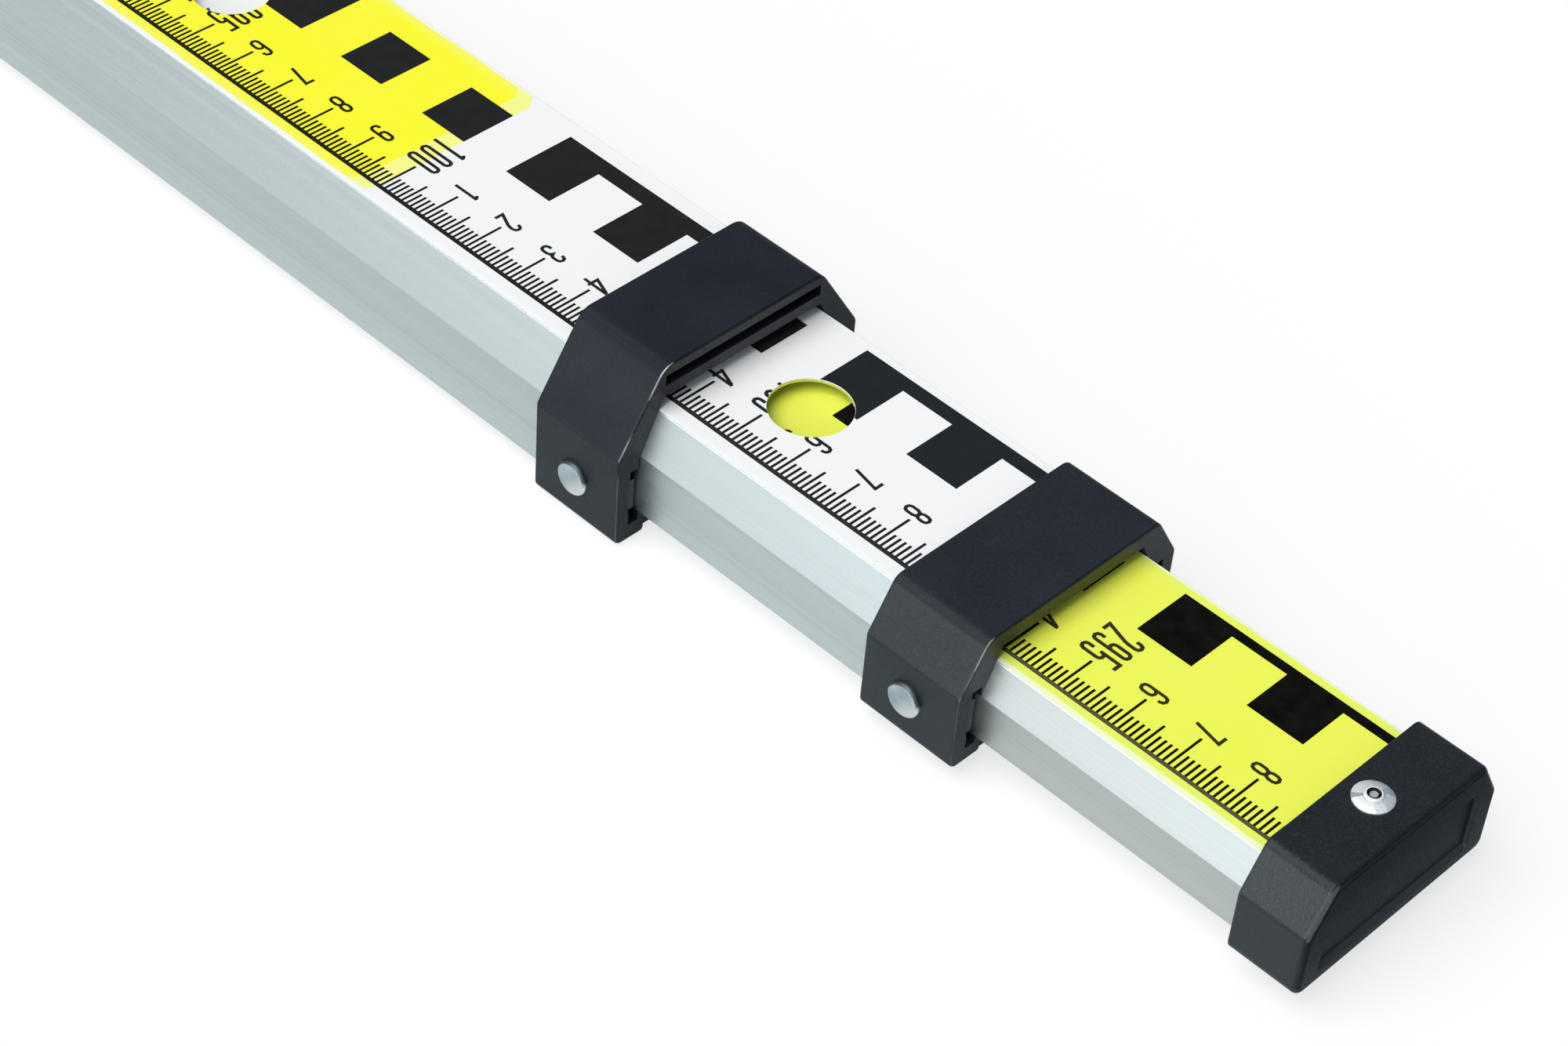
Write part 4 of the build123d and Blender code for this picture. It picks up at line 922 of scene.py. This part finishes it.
acetal, tree, shader = finish("natural_acetal", Subsurface_Weight=0.08, Subsurface_Scale=1 * MM)
flow = ramp(tree, mottle(tree, FLOW), *MOST)
flowed = mixed(tree, flow, acetal_pale, acetal_flow)
colour_surface(tree, shader, flowed, ramp(tree, flow, 0.0, 1.0, *ACETAL_ROUGHNESS))
button_plastic = slick_plastic("button_plastic", shade(26, 27, 29), roughness=0.28)
spring_wire = bright_metal(
    "spring_wire", shade(170, 172, 176), roughness=0.24, dents=900.0, depth=0.004 * MM
)
flush_metal = bright_metal(
    "flush_rivet", shade(226, 230, 232), roughness=0.25, dents=300.0, depth=0.01 * MM
)
dress("middle_buffer", rubber)
for guide in ("middle_guide", "inner_guide"):
    dress(guide, acetal)
    dress(guide + "_rivets", flush_metal)
for section in ("2", "3"):
    dress("lock_button_" + section, button_plastic)
    # a merged copy of the spring's mesh, shown in place of the part's own
    coils = bmesh.new()
    coils.from_mesh(frame["nodes"]["lock_spring_" + section].data)
    bmesh.ops.remove_doubles(coils, verts=coils.verts, dist=SAME_POINT)
    bmesh.ops.recalc_face_normals(coils, faces=coils.faces)
    spring = plain_object("coil_spring_" + section, coils)
    bpy.context.scene.collection.objects.link(spring)
    spring.data.materials.append(spring_wire)
    spring.data.shade_smooth()
    low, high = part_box("lock_spring_" + section)
    middle_x = (low.x + high.x) / 2
    start, end = (middle_x, 0.0, low.z), (middle_x, 0.0, high.z)
    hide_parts("lock_spring_" + section)
    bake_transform(spring)

# ---- Inner tube and its film ---------------------------------------------------------------------
# The smallest extrusion, anodised like the others, with the guide hole of its lock button near the
# foot and no window. Its film is yellow again, a paler one than the first metre's, and is stuck on
# and printed like the others.

INNER_INK_GLOSS = 0.06

dress("inner_tube", anodised("anodised_inner", shade(207, 209, 207), shade(220, 222, 220)))

inner_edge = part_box("inner_scale")[1].y
inner_colours = [(0.0, shade(239, 246, 82))]
inner_fade, inner_rim = shade(214, 244, 150), shade(244, 252, 204)
inner_film = scale_film("scale_film_inner", inner_edge, inner_colours, inner_fade, inner_rim)
dress("inner_scale", inner_film)

inner_print_sizes = {
    "Zero": -1809.4 * MM,
    "Base line": -13.2 * MM,
    "Line width": 0.7 * MM,
    "Tick width": 0.42 * MM,
    "Block low": 3.55 * MM,
    "Block high": 12.5 * MM,
    "Spine high": 14.2 * MM,
    "Spine first": 5,
    "Window": False,
    "Window x": 0.0,
    "Window radius": WINDOW_RADIUS,
}
inner_tones = shade(84, 84, 56), shade(14, 12, 0), shade(52, 48, 32), shade(6, 6, 3)
inner_ink = print_ink("ink_inner", inner_print_sizes, INNER_INK_GLOSS, *inner_tones)
print_film("print_inner", "inner_scale", "section_3", inner_print_sizes, inner_ink)

# the loose figures are on all three films now
for figures in (short_numbers, tall_numbers):
    for figure in list(figures.objects):
        bpy.data.objects.remove(figure)
    bpy.data.collections.remove(figures)

# ---- Top cap and its rivet -----------------------------------------------------------------------
# The cap is moulded like the collars, with a panel sunk in its end whose walls are lightened with
# painted light against their shade. One blind rivet through its top holds it; the rivet's flange
# keeps the flats of the setting tool, each toned with a painted reflection, and the broken end of
# its steel mandrel. The rivet's raised ring is a painted highlight, and its bore, the groove round
# the ring and the mandrel's side are painted shade.

PANEL_DEPTH = 0.75 * MM
FACES_IN = (-0.3 * MM, -1.5 * MM)  # facing the cap's middle, times the distance from it
RIVET_BORE, RIVET_RING, PIN_FLAT = 1.04 * MM, 1.45 * MM, 0.62 * MM  # radii
RING_GROOVE, GROOVE_SHARE = (1.52 * MM, 0.07 * MM), 0.45  # radius, give or take, of the painted shade round the ring
FLATS_START, FLATS_STRAY, STRAY_MARKS = 0.46, 0.08, 700.0  # the first two in turns
SCRATCHES, SCRATCH_RANGE, SCRATCH_SHARE = 1500.0, (0.3, 0.42), 0.3
FLANGE_ROUGHNESS, PIN_ROUGHNESS = (0.26, 0.4), (0.3, 0.45)
BLOWS, BLOW_DEPTH = 380.0, 0.12 * MM
BREAK, BREAK_DEPTH = 1200.0, 0.02 * MM

# painted light for the panel's walls
panel_wall_painted_light = shade(62, 68, 74)
# grey of the scratches, and painted shade for the groove round the ring
scratch_grey, groove_painted_shade = shade(150, 156, 160), shade(120, 128, 134)
# painted highlight of the ring, and painted shade in the bore and on the mandrel's side
ring_painted_highlight, bore_painted_shade, pin_side_painted_shade = shade(252, 253, 254), shade(52, 62, 66), shade(40, 50, 54)
break_dark, break_light = shade(176, 184, 188), shade(228, 232, 235)

# a faint painted edge highlight, and the strongest painted sheen on the slopes
cap_moulding = grained_moulding(
    "cap_nylon",
    shade(16, 20, 28),
    edge_shine=0.12,
    sheen_strength=1.0,
    glint_share=0.05,
    gloss=0.5,
    roughness=0.36,
    depth=0.04 * MM,
)
tree = cap_moulding.node_tree
shader = tree.nodes["Principled BSDF"]
cap_low, cap_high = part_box("top_cap")
cap_middle = (0.0, 0.0, (cap_low.z + cap_high.z) / 2)
outward = vector_calc(tree, "MULTIPLY", faces(tree), (0.0, 1.0, 1.0))["Vector"]
where = in_place(tree)
apart = vector_calc(tree, "SUBTRACT", where, cap_middle)["Vector"]
faces_out = vector_calc(tree, "DOT_PRODUCT", outward, apart)["Value"]
in_panel = calc(tree, "GREATER_THAN", parts(tree, where)[0], cap_high.x - PANEL_DEPTH)
panel_wall = calc(tree, "MULTIPLY", in_panel, ramp(tree, faces_out, *FACES_IN))
moulded = shader.inputs["Base Color"].links[0].from_socket
# painted light on the panel's walls, against the shade in the recess
colour_surface(tree, shader, mixed(tree, panel_wall, moulded, panel_wall_painted_light))
dress("top_cap", cap_moulding)

rivet_low, rivet_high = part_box("cap_rivet")
rivet_x = (rivet_low.x + rivet_high.x) / 2
hammered, tree, shader = finish("hammered_rivet", Metallic=0.35)
apart, out = off_axis(tree, rivet_x)
across_x, across_y, _ = parts(tree, apart)
turn = calc(tree, "DIVIDE", calc(tree, "ARCTAN2", across_y, across_x), 2 * pi)
ragged = calc(tree, "MULTIPLY", mottle(tree, STRAY_MARKS, detail=2.0), FLATS_STRAY)
turn = calc(tree, "ADD", turn, calc(tree, "ADD", ragged, FLATS_START))
# each flat gets a painted reflection: a tone by its angle round the rivet
flats = put(tree, "ShaderNodeValToRGB", {0: turn})
flats.color_ramp.interpolation = "CONSTANT"
flat_reflections = (
    (0.0, (234, 237, 240)),
    (0.1, (166, 176, 181)),
    (0.155, (255, 255, 255)),
    (0.36, (236, 240, 244)),
    (0.46, (208, 217, 226)),
    (0.64, (176, 184, 194)),
    (0.72, (203, 210, 218)),
    (0.86, (221, 227, 233)),
    (0.96, (234, 237, 240)),
)
for at, (start, tone) in enumerate(flat_reflections):
    stop = flats.color_ramp.elements[0] if at == 0 else flats.color_ramp.elements.new(start)
    stop.position, stop.color = start, shade(*tone)
flats.color_ramp.elements.remove(flats.color_ramp.elements[-1])
scratch = mottle(tree, SCRATCHES)
scratched = ramp(tree, scratch, *SCRATCH_RANGE, SCRATCH_SHARE, 0.0)
flange = mixed(tree, scratched, flats.outputs[0], scratch_grey)
# painted shade in the groove round the ring, a painted highlight on the ring and painted shade in
# the bore
groove = calc(tree, "MULTIPLY", calc(tree, "COMPARE", out, *RING_GROOVE), GROOVE_SHARE)
flange = mixed(tree, groove, flange, groove_painted_shade)
ring = calc(tree, "LESS_THAN", out, RIVET_RING)
flange = mixed(tree, ring, flange, ring_painted_highlight)
bore = calc(tree, "LESS_THAN", out, RIVET_BORE)
flange = mixed(tree, bore, flange, bore_painted_shade)
colour_surface(tree, shader, flange, ramp(tree, scratch, *MOST, *FLANGE_ROUGHNESS))
rough_surface(tree, shader, mottle(tree, BLOWS, detail=1.0), BLOW_DEPTH)
dress("cap_rivet", hammered)

pin_steel, tree, shader = finish("mandrel_steel", Metallic=0.7)
marks = mottle(tree, BREAK, detail=2.0)
broken = mixed(tree, ramp(tree, marks, *MOST), break_dark, break_light)
# painted shade on the mandrel's side, down in the bore
pin_side = calc(tree, "GREATER_THAN", off_axis(tree, rivet_x)[1], PIN_FLAT)
broken = mixed(tree, pin_side, broken, pin_side_painted_shade)
colour_surface(tree, shader, broken, evened(tree, marks, *PIN_ROUGHNESS))
rough_surface(tree, shader, marks, BREAK_DEPTH)
dress("cap_rivet_pin", pin_steel)

# ---- Studio --------------------------------------------------------------------------------------
# A plain pale floor just under the rod, with painted shade past the rod's upper end that only
# reflections and bounced light see, a soft room that is brightest on the near side, one very broad
# lamp high over that side, and the camera above the rod's upper end.

FLOOR_SIZE, FLOOR_X, FLOOR_GAP = 60.0, 0.6, 0.1 * MM
CAP_END = (cad_box[1].x - 2 * MM, cad_box[1].x + 8 * MM)  # past it the floor carries painted shade for the light that the cap reflects and takes from it
FLOOR_SEEN, FLOOR_MIRRORED = 0.7, (0.15, 0.02)  # how much plain white is in it
ROOM_SIDE = Vector((0.1, -0.99, 0.1)).normalized()  # the way to the room's bright side
TINT_REACH, WALL_REACH, PANE_REACH = (0.2, 0.8), (0.66, 0.84), (0.865, 0.95)
WALL_LIGHT, PANE_LIGHT = (0.24, 1.05), (0.0, 2.1)
ROOM_FAR, ROOM_NEAR = (0.82, 0.92, 1.0, 1.0), (0.89, 0.97, 1.0, 1.0)
LAMP_SIDE = Vector((-0.12, -0.5, 0.86))
LAMP_STRENGTH, LAMP_SPREAD, LAMP_TINT = 2.6, 50.0, (1.0, 0.98, 0.955)
CAMERA_PLACE = (1.3436021, -0.3038978, 0.3590526)
CAMERA_TURN, CAMERA_LIFT, CAMERA_ROLL = 41.3535, 42.8533, 5.0648  # degrees
CAMERA_LENS, CAMERA_SENSOR, NEAREST = 82.851, 36.0, 0.01
PLAIN_WHITE = (1.0, 1.0, 1.0, 1.0)

# the floor's tone for reflections and bounced light beside the rod, and its painted shade past the
# cap end
floor_beside, floor_painted_shade = shade(190, 199, 200), shade(60, 68, 78)
floor_white = shade(252, 252, 252)

sheet = bmesh.new()
bmesh.ops.create_grid(sheet, x_segments=1, y_segments=1, size=FLOOR_SIZE / 2)
floor = plain_object("floor", sheet)
floor.data.transform(Matrix.Translation((FLOOR_X, 0.0, cad_box[0].z - FLOOR_GAP)))
bpy.context.scene.collection.objects.link(floor)
pale, tree, shader = finish("pale_floor", Roughness=0.9, Specular_IOR_Level=0.1)
ray = put(tree, "ShaderNodeLightPath").outputs
along = parts(tree, in_place(tree))[0]
# painted shade on the floor past the cap end, seen only in reflections and bounced light
reflected_floor_tone = mixed(tree, ramp(tree, along, *CAP_END), floor_beside, floor_painted_shade)
colour_surface(tree, shader, mixed(tree, ray["Is Camera Ray"], reflected_floor_tone, floor_white))
white = put(tree, "ShaderNodeEmission", {"Color": PLAIN_WHITE, "Strength": 1.0}).outputs[0]
seen = calc(tree, "MULTIPLY", ray["Is Camera Ray"], FLOOR_SEEN)
mirrored = calc(tree, "MAXIMUM", ray["Is Glossy Ray"], ray["Is Transmission Ray"])
# less white mirrored past the cap end, part of the same painted shade
mirrored = calc(tree, "MULTIPLY", mirrored, ramp(tree, along, *CAP_END, *FLOOR_MIRRORED))
feeds = {0: calc(tree, "MAXIMUM", seen, mirrored), 1: shader.outputs[0], 2: white}
both = put(tree, "ShaderNodeMixShader", feeds).outputs[0]
tree.links.new(both, tree.nodes["Material Output"].inputs["Surface"])
floor.data.materials.append(pale)

world = bpy.data.worlds.new("soft_room")
world.use_nodes = True
bpy.context.scene.world = world
tree = world.node_tree
room = tree.nodes["Background"]
towards = put(tree, "ShaderNodeTexCoord").outputs["Generated"]
facing = vector_calc(tree, "DOT_PRODUCT", towards, ROOM_SIDE)["Value"]
tint = mixed(tree, ramp(tree, facing, *TINT_REACH), ROOM_FAR, ROOM_NEAR)
tree.links.new(tint, room.inputs["Color"])
wall = ramp(tree, facing, *WALL_REACH, *WALL_LIGHT)
pane = ramp(tree, facing, *PANE_REACH, *PANE_LIGHT)
tree.links.new(calc(tree, "ADD", wall, pane), room.inputs["Strength"])
seen = put(tree, "ShaderNodeBackground", {"Color": PLAIN_WHITE, "Strength": 1.0}).outputs[0]
ray = put(tree, "ShaderNodeLightPath").outputs
feeds = {0: ray["Is Camera Ray"], 1: room.outputs[0], 2: seen}
both = put(tree, "ShaderNodeMixShader", feeds).outputs[0]
tree.links.new(both, tree.nodes["World Output"].inputs["Surface"])

light = bpy.data.lights.new("key", "SUN")
light.energy, light.angle, light.color = LAMP_STRENGTH, radians(LAMP_SPREAD), LAMP_TINT
lamp = bpy.data.objects.new("key", light)
lamp.rotation_euler = LAMP_SIDE.to_track_quat("Z", "Y").to_euler()
bpy.context.scene.collection.objects.link(lamp)

camera = bpy.data.cameras.new("camera")
camera.sensor_width, camera.lens = CAMERA_SENSOR, CAMERA_LENS
camera.clip_start = NEAREST
viewer = bpy.data.objects.new("camera", camera)
turn, lift, roll = radians(CAMERA_TURN), radians(CAMERA_LIFT), radians(CAMERA_ROLL)
back = Vector((sin(turn) * cos(lift), -cos(turn) * cos(lift), sin(lift)))
right = Vector((0.0, 0.0, 1.0)).cross(back).normalized()
up = back.cross(right)
across = right * cos(roll) + up * sin(roll)
above = up * cos(roll) - right * sin(roll)
stand = Matrix((across, above, back)).transposed().to_4x4()
viewer.matrix_world = Matrix.Translation(CAMERA_PLACE) @ stand
bpy.context.scene.collection.objects.link(viewer)
bpy.context.scene.camera = viewer
bpy.context.scene.view_settings.view_transform = "Standard"
